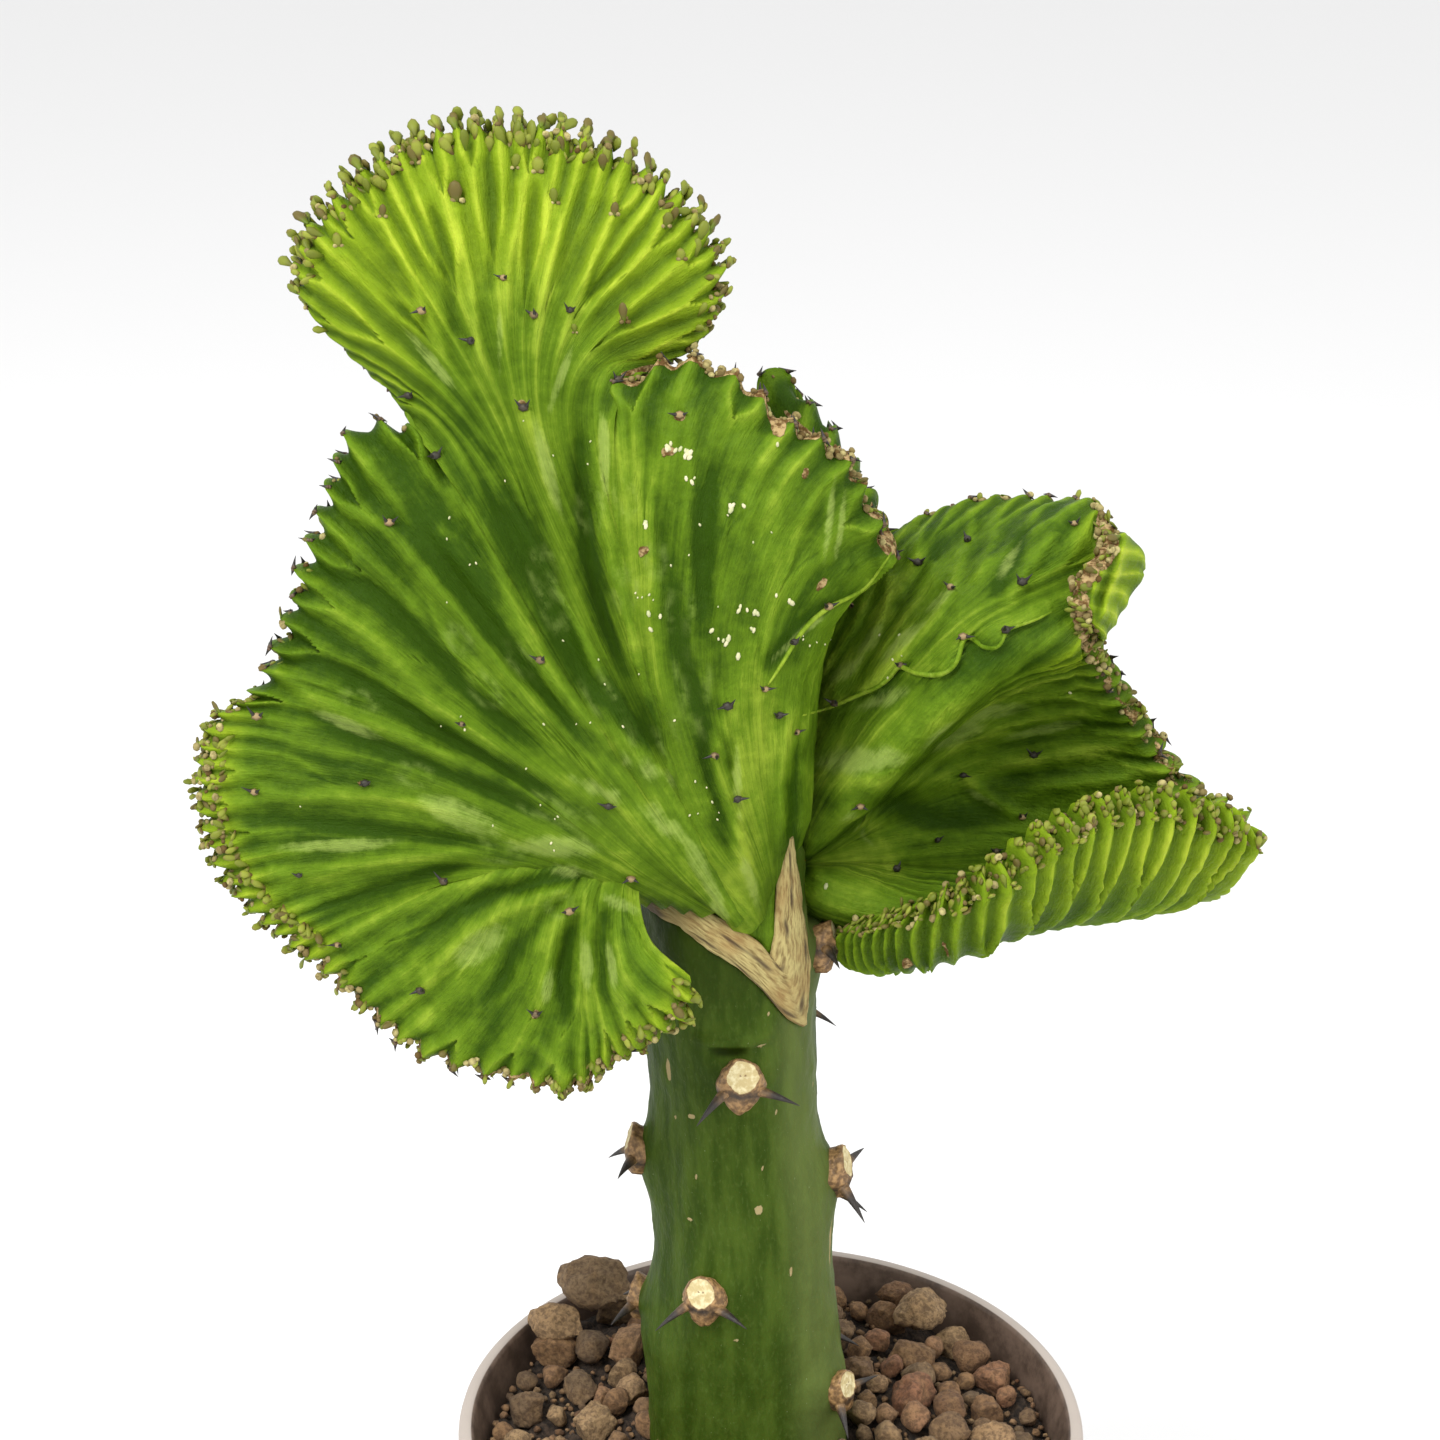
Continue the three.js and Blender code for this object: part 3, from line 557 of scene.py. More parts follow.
class RidgeTree:
    """Ridge lines over the fan, in metres along the growing edge and metres inward from it."""

    def __init__(self, start, end, pitch_at, seed):
        rng = np.random.default_rng(seed)
        twigs = [start]
        while twigs[-1] < end:
            twigs.append(twigs[-1] + pitch_at(twigs[-1]) * rng.uniform(0.8, 1.25))
        self.twigs = np.array(twigs)
        self.centres, self.begins, self.ends = [self.twigs], [], []
        owner = np.arange(len(twigs))
        places = self.twigs
        for near, far, group_sizes in JOINS:
            sizes = rng.choice(group_sizes, len(places))
            group = np.repeat(np.arange(len(places)), sizes)[: len(places)]
            places = np.array([places[group == g].mean() for g in range(group.max() + 1)])
            owner = group[owner]
            begin = rng.uniform(near, near + 0.35 * (far - near), len(places)) * MM
            end = begin + rng.uniform(0.45, 0.65, len(places)) * (far - near) * MM
            self.centres.append(places[owner])
            self.begins.append(begin[owner])
            self.ends.append(end[owner])
        self.heads = list(zip(places, end))

    def lines_at(self, inward):
        """Where each twig's line is, at its own distance inward."""
        lines = self.centres[0].copy()
        for level, (begin, end) in enumerate(zip(self.begins, self.ends)):
            lines += (self.centres[level + 1] - self.centres[level]) * ease(begin, end, inward)
        return lines

    def height(self, along, inward_of):
        """The width between the ridges beside places, and the share of ridge, 1 on its line."""
        lines = np.maximum.accumulate(self.lines_at(inward_of(self.twigs)))
        after = np.clip(np.searchsorted(lines, along, side="right"), 1, len(lines) - 1)
        left, right = lines[after - 1], lines[after]
        width = np.maximum(right - left, 1e-7)
        return width, np.abs(2 * np.clip((along - left) / width, 0, 1) - 1)

# %% [markdown]
# ## The crest: what grows where
#
# Three things differ round the edge. Where the fan grows now, its edge is bright yellow-green, with small
# fingers close together and many leaflets. Where growth has stopped, the edge is dull and its teeth are
# further apart. And where it has dried, it is tan and scabby. A short table by rib says which is where.
#
# The face of the fan also bears marks that no rule of growth gives: strong ridges, the dark furrows between
# the folds, an overhanging ledge on the right fan and feathery pale patches. They are drawn as lines and
# spots over the picture and act only on the surface that faces the viewer.

# %% Looks of the growing edge
# What each column says: rib, freshness, how far in it reaches (mm), spacing of the fingers (mm), dryness,
# leaflets per mm, their band (mm) and size, the pleats' depth, how sharp they are, and how soon they join
LOOKS = ("fresh", "reach", "spacing", "dry", "leaflets", "band", "size", "pleats", "sharp", "joining")
EDGE_LOOKS = np.array([
    [0, 0.8, 9, 3.0, 0.2, 3.0, 4.5, 1.0, 1.0, 0.8, 1.0],
    [3, 0.6, 8, 3.6, 0.4, 2.6, 4.5, 0.8, 0.85, 0.8, 1.0],
    [5, 0.3, 6, 4.6, 0.8, 0.9, 2.5, 0.75, 0.6, 1.1, 1.0],
    [8, 0.35, 6, 4.2, 0.8, 1.4, 3, 0.75, 0.6, 1.1, 1.0],
    [9, 0.8, 10, 3.0, 0.4, 5.5, 6.0, 0.88, 0.6, 0.8, 1.0],
    [13, 0.8, 10, 3.0, 0.35, 5.5, 5.5, 0.88, 0.6, 0.8, 1.0],
    [14, 0.2, 5, 4.2, 0.15, 0.5, 2, 0.7, 1.5, 1.5, 0.7],
    [19, 0.1, 5, 5.2, 0.1, 0.0, 2, 0.6, 1.2, 1.5, 0.8],
    [20, 0.3, 20, 4.4, 0.0, 0.0, 2.5, 0.9, 0.3, 1.2, 1.2],
    [21.7, 0.6, 40, 3.4, 0.0, 0.4, 2.5, 0.9, 0.35, 1.0, 1.2],
    [22.6, 0.9, 40, 3.0, 0.35, 2.6, 4.5, 1.05, 0.8, 0.75, 0.9],
    [24, 0.9, 40, 3.1, 0.35, 2.6, 4.5, 1.05, 0.95, 0.75, 0.8],
    [30.5, 0.9, 34, 3.1, 0.35, 2.6, 4.5, 1.05, 0.95, 0.75, 0.8],
    [32, 0.8, 30, 3.2, 0.35, 2.4, 4.5, 1.0, 0.65, 0.75, 1.0],
    [32.8, 0.5, 20, 5.0, 0.0, 0.0, 1, 0.8, 0.4, 1.2, 1.0],
    [34, 0.1, 5, 5.5, 0.9, 0.1, 1, 0.7, 0.7, 1.6, 1.0],
    [39, 0.0, 5, 6.0, 0.6, 0.05, 1, 0.7, 0.7, 1.6, 1.0],
    [41, 0.0, 5, 7.0, 0.1, 0.0, 1, 0.7, 0.8, 1.6, 1.0],
    [44, 0.0, 5, 7.0, 0.2, 0.0, 1, 0.7, 0.8, 1.6, 1.0],
    [45, 0.3, 10, 4.2, 0.45, 0.1, 0.8, 0.85, 0.35, 1.6, 0.5],
    [48, 0.35, 10, 4.2, 0.55, 0.15, 0.8, 0.85, 0.35, 1.6, 0.5],
    [49, 0.8, 24, 4.0, 0.6, 0.3, 0.8, 0.8, 0.25, 1.6, 0.5],
    [51, 0.8, 24, 4.0, 0.6, 0.3, 0.8, 0.8, 0.25, 1.6, 0.5],
    [52, 0.3, 8, 4.2, 0.4, 0.4, 1.0, 0.8, 0.6, 1.4, 0.6],
    [54, 0.3, 8, 4.2, 0.4, 0.4, 1.0, 0.8, 0.6, 1.4, 0.6],
    [55, 0.9, 30, 4.2, 0.15, 2.6, 2.2, 0.92, 1.15, 1.1, 0.3],
    [60, 0.85, 30, 4.2, 0.15, 2.6, 2.2, 0.92, 1.15, 1.1, 0.3],
    [62, 0.5, 20, 3.8, 0.2, 1.8, 1.8, 0.92, 1.2, 1.3, 0.35],
    [65, 0.3, 20, 3.8, 0.25, 1.4, 1.4, 0.85, 0.9, 1.3, 0.4],
])

# %% [markdown]
# The strong ridges follow the folds that the picture shows, and furrows lie between them.

# %% Ridges and furrows
# Lines over the picture: width in points, height in mm, then the corners, x and y in turn
RIDGES = [
    # left fan
    (9, 1.7, 442, 477, 488, 539, 514, 605, 541, 658, 576, 710, 620, 746, 677, 772),
    (8, 1.3, 330, 506, 389, 525, 426, 574, 462, 618, 497, 666, 532, 702, 563, 724),
    (8, 1.2, 308, 515, 356, 548, 391, 583, 426, 618),
    (10, 1.6, 305, 596, 356, 627, 400, 666, 431, 702, 462, 724, 514, 759, 567, 785, 602, 803),
    (9, 1.5, 271, 664, 294, 688, 338, 710, 387, 728, 426, 746, 462, 768),
    (9, 1.2, 250, 790, 300, 798, 365, 797, 418, 802, 462, 816, 514, 834, 567, 842),
    (9, 1.4, 262, 870, 299, 878, 365, 864, 426, 856, 488, 849, 541, 842),
    (9, 1.4, 338, 944, 382, 917, 426, 895, 470, 880, 523, 872),
    (8, 1.4, 421, 990, 453, 948, 488, 920, 532, 900, 576, 888),
    (8, 1.2, 536, 1014, 548, 961, 556, 926, 575, 897), (8, 1.2, 532, 1040, 555, 1062, 572, 1082),
    (8, 1.1, 590, 1030, 586, 985, 585, 940, 596, 908), (8, 1.1, 628, 1010, 620, 961, 612, 926),
    # centre and shoulder
    (11, 1.5, 524, 408, 541, 446, 554, 530, 576, 605, 598, 684, 624, 728),
    (9, 1.1, 600, 400, 604, 470, 606, 540, 616, 596, 638, 662),
    (9, 1.2, 622, 393, 618, 430, 624, 480, 630, 552, 648, 640, 668, 702, 686, 754),
    (8, 0.8, 690, 400, 688, 470, 686, 560, 694, 640, 706, 700),
    (8, 0.8, 776, 440, 752, 500, 730, 580, 716, 650), (6, 0.9, 832, 470, 828, 520, 823, 566),
    (5, 0.7, 844, 474, 839, 520, 829, 562),
    (7, 1.3, 745, 698, 722, 726, 715, 765, 735, 805, 741, 842, 746, 880),
    (5, 0.8, 738, 730, 738, 787, 745, 850, 754, 900), (6, 1.2, 790, 712, 787, 745, 783, 790, 782, 835),
    # top lobe, each from its knob
    (6, 1.3, 455, 200, 463, 240, 471, 274, 476, 338, 486, 380),
    (6, 1.0, 338, 246, 377, 287, 405, 302, 424, 312),
    (6, 1.3, 382, 214, 392, 238, 405, 262, 423, 306, 448, 360),
    (6, 1.3, 519, 177, 520, 200, 515, 232, 506, 274, 508, 330),
    (6, 1.2, 538, 170, 545, 200, 548, 240, 538, 315, 532, 372),
    (6, 1.2, 556, 200, 560, 230, 552, 270, 541, 308),
    (6, 1.3, 612, 215, 603, 245, 589, 269, 570, 306, 560, 350),
    (6, 1.1, 663, 223, 645, 250, 621, 278, 593, 306, 576, 336),
    (6, 1.1, 683, 258, 667, 274, 645, 295, 623, 315, 600, 345),
    (6, 1.0, 416, 166, 432, 195, 451, 232, 460, 262), (6, 0.9, 472, 341, 480, 370, 500, 402),
    # right fan above the ledge
    (6, 1.3, 922, 524, 918, 545, 914, 562),
    (6, 1.2, 973, 508, 966, 545, 950, 590, 926, 629, 882, 669, 852, 696),
    (6, 1.0, 1000, 506, 992, 540, 975, 580), (6, 1.1, 1058, 531, 1034, 558, 1017, 588, 1005, 612),
    (7, 1.2, 893, 572, 885, 600, 872, 640, 845, 672, 815, 700),
    (6, 1.1, 868, 575, 862, 608, 845, 640, 820, 675), (6, 1.0, 935, 560, 918, 592, 900, 625, 870, 662),
    # right fan below it
    (9, 1.3, 956, 777, 902, 782, 841, 782, 795, 768), (7, 1.3, 963, 777, 985, 796, 1024, 818),
    (7, 1.0, 841, 784, 868, 821, 885, 862, 900, 880), (7, 1.1, 1125, 700, 1080, 712, 1030, 722, 980, 735),
    (7, 1.1, 1150, 735, 1105, 748, 1060, 756, 1000, 764),
    (7, 1.1, 1176, 765, 1129, 778, 1078, 784, 1030, 790), (7, 0.9, 937, 842, 900, 830, 865, 820, 830, 812),
    (7, 0.9, 820, 880, 812, 850, 806, 825),
    # the knob on its margin
    (4.5, 1.2, 1126, 520, 1124, 560, 1108, 600, 1097, 622),
    (4, 1.1, 1108, 548, 1098, 575, 1092, 605, 1094, 625),
]
FURROWS = [
    (9, 1.5, 400, 492, 434, 549, 470, 595, 506, 645, 542, 690, 579, 735),
    (10, 1.8, 462, 460, 515, 536, 542, 590, 574, 654, 615, 712, 660, 750),
    (8, 1.4, 570, 395, 577, 440, 584, 500, 588, 560, 604, 620, 628, 680),
    (9, 1.4, 322, 555, 375, 586, 415, 630, 452, 672, 492, 711, 540, 745),
    (9, 1.5, 285, 628, 361, 683, 434, 728, 497, 762, 560, 797),
    (8, 1.2, 262, 675, 329, 726, 406, 755, 474, 785, 540, 812),
    (9, 1.3, 240, 822, 316, 822, 384, 832, 461, 840, 520, 852),
    (8, 1.2, 300, 920, 345, 900, 400, 882, 470, 862),
    (8, 1.3, 385, 972, 430, 930, 470, 903, 524, 884, 588, 874),
    (8, 1.1, 480, 1030, 505, 975, 530, 930, 570, 895), (8, 1.2, 570, 1035, 566, 1000, 562, 960, 578, 915),
    (8, 1.1, 612, 1020, 602, 980, 600, 940, 604, 905),
    (9, 1.0, 651, 440, 662, 520, 668, 590, 680, 650, 705, 720),
    (10, 1.0, 735, 410, 712, 470, 702, 530, 704, 620),
    (7, 0.9, 893, 556, 850, 590, 815, 612, 785, 640, 758, 680),
    (7, 1.2, 705, 700, 704, 760, 720, 810, 728, 860), (6, 0.8, 728, 735, 729, 780, 738, 830),
    (8, 1.6, 797, 730, 794, 780, 792, 840, 800, 880), (6, 0.7, 430, 200, 446, 260, 456, 340),
    (6, 0.7, 490, 150, 494, 220, 490, 300), (6, 0.6, 533, 180, 528, 250, 524, 330),
    (6, 0.7, 592, 165, 577, 230, 558, 290), (6, 0.7, 652, 215, 616, 265, 584, 300),
    (6, 0.6, 350, 230, 388, 280, 412, 318), (6, 1.0, 945, 520, 938, 545, 922, 580, 895, 615),
    (6, 1.0, 1030, 520, 1012, 560, 992, 600), (8, 0.5, 1140, 715, 1090, 728, 1040, 738, 990, 748),
    (8, 0.5, 1165, 750, 1110, 762, 1050, 772, 1000, 778),
    (4, 1.2, 1117, 535, 1108, 570, 1099, 600, 1095, 620),
    (10, 0.7, 1050, 800, 990, 830, 940, 822, 900, 805, 850, 802, 808, 800),
]

# %% [markdown]
# On the right fan a fold hangs over the part below it, with a scalloped lip, and the shoulder folds over the
# fan.

# %% The ledge and the fold
# The overhang: the surface steps back from above this scalloped line to below it.
LEDGE = np.reshape([
    800, 716, 830, 708, 860, 694, 877, 688, 892, 676, 899, 663, 905, 669, 918, 674, 941, 676, 957, 664, 961,
    645, 965, 635, 974, 638, 981, 647, 996, 649, 1003, 641, 1005, 630, 1016, 626, 1036, 620, 1055, 610,
], (-1, 2))
LEDGE_STEP = 1.6
# The fold of the shoulder over the right fan
FOLD_LINE = np.reshape([
    893, 550, 882, 566, 866, 588, 848, 598, 830, 606, 812, 620, 797, 638, 782, 664, 766, 688,
], (-1, 2))

# %% [markdown]
# The rest is colour more than shape: pale feathery strokes where the wax is scuffed, lighter and darker
# patches that are in part painted light and shade, faint dried outlines, crusts and clusters of flecks.
# Tubercles and knobs are where small parts stand on the face.

# %% Patches, outlines, crusts, flecks, tubercles and knobs
# Pale feathery patches: middle x, y, half length, half width, turn in degrees clockwise from the right
PALE_PATCHES = [
    (462, 816, 56, 17, 22), (555, 846, 56, 14, 2), (570, 872, 26, 9, 5), (668, 826, 30, 13, 40),
    (698, 862, 34, 13, 62), (480, 946, 40, 20, -35), (335, 845, 70, 9, -3), (620, 905, 26, 8, 25),
    (600, 790, 40, 9, 20), (650, 770, 40, 9, 20), (862, 760, 56, 15, -2), (955, 735, 44, 14, -25),
    (1000, 712, 40, 10, -10), (845, 672, 30, 9, -40), (870, 640, 26, 10, -50), (905, 640, 40, 7, -45),
    (880, 700, 30, 9, -15), (829, 520, 50, 5, 97), (840, 524, 46, 4, 97), (795, 640, 44, 6, -40),
    (738, 790, 56, 5, 88), (750, 880, 40, 8, 72), (716, 900, 30, 9, 70), (585, 960, 34, 8, 85),
    (612, 965, 30, 6, 80), (548, 985, 26, 7, 100), (350, 725, 44, 8, 22), (800, 870, 16, 5, 80),
    (940, 600, 30, 8, -45), (428, 356, 50, 8, 50), (500, 340, 40, 5, 90), (560, 380, 40, 6, 110),
    (604, 450, 60, 7, 88), (548, 470, 60, 9, 75), (1010, 560, 30, 8, -60), (1045, 730, 50, 7, -12),
    (985, 800, 26, 5, 30), (860, 830, 34, 5, 55),
]
# Lighter and darker patches, in part painted light and shade: middle x, y, half length, half width, turn and
# amount, below 0 where it is darker
TONES = [
    (430, 520, 110, 50, 50, -0.35), (560, 600, 120, 22, 62, -0.3), (300, 620, 60, 45, 50, -0.35),
    (850, 850, 60, 40, 10, 0.45), (1080, 760, 90, 34, 5, 0.3), (1100, 700, 60, 14, 10, 0.1),
    (520, 400, 110, 60, 80, 0.2), (640, 520, 90, 30, 80, 0.25), (690, 850, 70, 50, 40, 0.35),
    (748, 800, 120, 24, 90, 0.6), (520, 260, 130, 90, 0, 0.5), (690, 440, 60, 40, 0, 0.1),
    (700, 560, 80, 22, 95, -0.3), (780, 540, 70, 24, 100, 0.25), (640, 560, 40, 50, 0, 0.15),
    (740, 470, 50, 50, 0, 0.15), (850, 650, 90, 40, -45, 0.35), (900, 745, 120, 40, -10, 0.22),
    (1000, 710, 60, 30, -15, 0.25), (930, 590, 60, 50, 0, 0.15), (560, 920, 60, 60, 0, 0.3),
    (570, 1020, 40, 30, 0, 0.15), (640, 1000, 50, 30, 0, 0.2), (440, 820, 80, 30, 10, 0.15),
    (460, 960, 60, 40, -20, 0.3), (400, 640, 50, 40, 40, -0.15), (350, 770, 60, 16, 15, -0.2),
    (560, 750, 100, 24, 40, 0.2), (470, 430, 40, 16, 60, -0.25), (600, 560, 60, 14, 70, -0.2),
    (980, 660, 60, 18, -10, -0.2), (905, 690, 30, 12, 0, -0.2), (930, 870, 70, 20, -20, 0.1),
    (905, 948, 66, 26, -8, -0.55), (1010, 900, 40, 24, -20, -0.15), (1170, 850, 70, 40, -10, 0.35),
    (1112, 570, 24, 60, 0, 0.65), (1060, 690, 50, 12, 5, 0.1),
]
# Faint pale outlines, like dried drops: middle x, y, half height, half width, turn
RINGS = [
    (590, 510, 20, 12, 95), (625, 498, 16, 11, 80), (543, 570, 19, 12, 100), (555, 610, 17, 12, 80),
    (625, 590, 18, 12, 90), (680, 610, 17, 13, 85), (485, 690, 15, 12, 60), (600, 695, 20, 13, 60),
    (693, 677, 20, 15, 50), (685, 720, 16, 10, 10), (645, 745, 17, 11, 20), (540, 805, 18, 11, 10),
    (575, 820, 15, 10, 0), (415, 775, 16, 11, 10), (500, 850, 16, 11, 0), (560, 905, 14, 10, 20),
    (655, 560, 14, 10, 90), (520, 660, 15, 10, 50), (460, 640, 14, 9, 50), (360, 700, 15, 9, 20),
]
# Brown or tan crusts: x, y, half length, half width, turn
SCABS = [
    (514, 1082, 24, 11, 0), (805, 474, 9, 5, 100), (822, 583, 11, 5, -60), (828, 606, 6, 4, 10),
    (794, 642, 6, 4, 0), (644, 552, 7, 6, 0), (726, 640, 8, 6, 0), (778, 428, 12, 9, 100),
    (624, 319, 7, 6, 0), (417, 160, 8, 6, 0), (609, 806, 6, 4, 0), (462, 724, 6, 4, 0), (541, 660, 5, 4, 0),
    (365, 783, 8, 5, 0), (909, 962, 9, 5, 60), (524, 408, 8, 6, 0), (536, 1014, 5, 5, 0),
    (668, 452, 10, 7, -30), (680, 416, 7, 6, 0), (946, 948, 12, 3, 70), (640, 370, 26, 4, -15),
    (690, 358, 26, 4, 5), (750, 386, 24, 5, 40), (800, 425, 28, 4, 42), (840, 452, 12, 6, 30),
]
# Spines and the tips of teeth, on tubercles of the fan's face
TUBERCLES = np.reshape([
    422, 310, 504, 278, 535, 315, 570, 310, 472, 341, 524, 408, 618, 380, 409, 395, 435, 456, 346, 454, 389,
    523, 308, 512, 303, 585, 279, 590, 275, 653, 255, 792, 299, 875, 444, 882, 569, 911, 631, 878, 338, 944,
    421, 990, 536, 1014, 257, 717, 728, 706, 716, 755, 737, 799, 765, 689, 779, 715, 796, 732, 680, 415, 918,
    562, 951, 588, 852, 606, 1022, 582, 963, 636, 1005, 630, 900, 664, 835, 703, 1034, 755, 963, 775, 860,
    806, 937, 840, 896, 869, 1022, 817, 996, 851, 828, 606, 794, 642, 968, 540, 1074, 524, 541, 660, 462, 724,
    365, 783, 609, 806,
], (-1, 2))
# Knobs: fleshy leaflets that stand on the face of the top lobe, x, y and size
KNOBS = [
    (456, 199, 1.2), (382, 215, 0.8), (339, 245, 0.9), (417, 160, 0.9), (537, 170, 1.0), (613, 213, 0.9),
    (665, 223, 0.9), (682, 258, 0.9), (624, 318, 0.9), (514, 165, 0.8), (554, 201, 0.8), (575, 330, 0.5),
]
# Clusters of pale flecks: middle x, y, spread and number
FLECKS = [
    (690, 452, 9, 9), (668, 450, 6, 4), (690, 482, 5, 3), (730, 508, 4, 3), (745, 507, 2, 2),
    (646, 523, 3, 3), (778, 445, 2, 1), (742, 612, 5, 3), (756, 612, 3, 2), (708, 632, 4, 2),
    (752, 628, 4, 3), (776, 595, 1, 1), (793, 602, 4, 2), (728, 640, 6, 5), (740, 655, 2, 1),
    (640, 600, 14, 5), (658, 622, 8, 3), (562, 840, 20, 4), (700, 810, 22, 7), (600, 700, 60, 8),
    (700, 560, 60, 8), (480, 760, 90, 8), (1070, 691, 2, 1), (826, 884, 2, 1), (900, 640, 30, 5),
    (820, 640, 20, 6), (480, 560, 60, 5), (560, 450, 50, 5),
]
print(len(RIDGES), "ridges,", len(FURROWS), "furrows,", len(TUBERCLES), "tubercles drawn over the picture")

# %% [markdown]
# ## The crest: from ribs to a closed, folded mesh
#
# A real crest is a single body, but one mesh with ribs as fine as these would be very heavy. It is made in
# three sheets that end inside one another along valleys: the left fan, the top lobe with the dried shoulder,
# and the right fan with the pleat that joins it behind. Each is a grid that runs from the graft up the front
# to the growing edge, folds over and comes back down the back. Its sides and its foot have no thickness, so
# the grid closes on itself.
#
# The height over the middle surface is a sum: half the thickness, the ridges of the tree, and, where the
# surface faces the viewer, the lines and spots drawn over the picture.

# %% Looks and marks at a place
# How far beyond a mark's corners it may reach, in points of the picture
MARK_REACH = 60
OUTLINE_WIDTH = 2.6
# The ledge, in points: how far it falls off above and below its line, its lip and the reach of its shade
LEDGE_ABOVE, LEDGE_BELOW, LEDGE_LIP, LEDGE_SHADE = 30, 45, 3.5, 14


def soften(field, rounds, axis):
    """Averages a table with its neighbours along one axis, many times over."""
    for _ in range(rounds):
        first = np.take(field, [0], axis)
        last = np.take(field, [-1], axis)
        wide = np.concatenate([first, field, last], axis)
        count = wide.shape[axis]
        before, here, after = (np.take(wide, range(k, count - 2 + k), axis) for k in range(3))
        field = (before + 2 * here + after) / 4
    return field


def edge_looks(along):
    """The looks of the edge at places along it, by name, with lengths in metres."""
    rib = np.interp(along, edge_length, fine)
    looks = {name: np.interp(rib, EDGE_LOOKS[:, 0], EDGE_LOOKS[:, 1 + k]) for k, name in enumerate(LOOKS)}
    return looks | {name: looks[name] * MM for name in ("reach", "spacing", "band")}


def spots(points, table):
    """How strongly picture points lie in any of the spots of a table: 1 in the middle, 0 outside."""
    return np.max([1 - ease(0.35, 1.25, spot_distance(points, spot)) for spot in table], axis=0)


def spot_distance(points, spot):
    """Distance of picture points from the middle of a spot, where 1 is its edge."""
    x, y, half_length, half_width, turn = spot
    turn = math.radians(turn)
    offset = points - (x, y)
    long_way = (offset @ (math.cos(turn), math.sin(turn))) / half_length
    short_way = (offset @ (-math.sin(turn), math.cos(turn))) / half_width
    return np.hypot(long_way, short_way)


def tone_at(points):
    """Lighter and darker patches at picture points, in part painted light and shade."""
    return sum(amount * np.exp(-spot_distance(points, spot) ** 2) for *spot, amount in TONES)


def rings_at(points):
    """How strongly picture points lie on any of the faint outlines."""
    away = [np.abs(spot_distance(points, ring) - 1) * ring[3] / OUTLINE_WIDTH for ring in RINGS]
    return np.exp(-np.min(away, axis=0) ** 2)


def drawn_relief(points):
    """Height in mm of the drawn ridges and furrows at picture points, and how much they rule there."""
    height = np.zeros(len(points))
    rule = np.zeros(len(points))
    for sign, table in ((1, RIDGES), (-1, FURROWS)):
        for width, depth, *corners in table:
            line = np.reshape(corners, (-1, 2))
            low, high = np.min(line, axis=0) - MARK_REACH, np.max(line, axis=0) + MARK_REACH
            near = np.all((points > low) & (points < high), axis=1)
            away, along = from_line(points[near], rounded(line))
            taper = ease(0, 0.12 if sign > 0 else 0.4, along) * (1 - ease(0.8, 1, along) * 0.8)
            shape = taper * np.exp(-((away / width) ** 2))
            height[near] += sign * depth * shape
            rule[near] = np.maximum(rule[near], taper * np.exp(-((away / width / 1.9) ** 2)))
    return height, rule


def ledge_relief(points):
    """The overhanging ledge: its height in millimetres at picture points, and the painted light above it and
    painted shade under it.
    """
    line = rounded(LEDGE, 1)
    away, along = from_line(points, line)
    order = np.argsort(line[:, 0])
    side = np.interp(points[:, 0], line[order, 0], line[order, 1]) - points[:, 1]
    signed = np.sign(side) * away
    taper = ease(0, 0.1, along) * (1 - ease(0.9, 1, along))
    above = np.exp(-np.clip(signed, 0, None) / LEDGE_ABOVE)
    below = np.exp(-np.clip(-signed, 0, None) / LEDGE_BELOW)
    step = LEDGE_STEP * taper * np.where(signed > 0, 0.5 * above, -below) * ease(0, LEDGE_LIP, np.abs(signed))
    # Painted light above the ledge's line and painted shade below it
    lit, dim = 0.4 * np.exp(-signed / LEDGE_SHADE), -0.45 * np.exp(signed / LEDGE_SHADE)
    return step, taper * np.where(signed > 0, lit, dim)

# %% [markdown]
# A sheet is worked out in steps: where its columns and rows lie, how thick it is, how its ridges rise, and
# then each of its two faces with the marks that it bears. At the end the faces move the vertices of one grid.

# %% A sheet of the crest
RIDGE_DEPTH = 2.5
ROUND_EDGE = 3 * MM
SIDE_TAPER = 5 * MM
FINGER_REACH = 3.8 * MM
PACES = 2000
# The pleat behind is hardly seen, so its columns stand further apart.
HIDDEN_RIBS = range(39, 45)
SKIN_LOOKS = ("ridge", "fresh", "dry", "tone", "ring", "pale", "scab", "flow")
tree = RidgeTree(0, edge_length[-1], lambda along: edge_looks(along)["spacing"], 5)


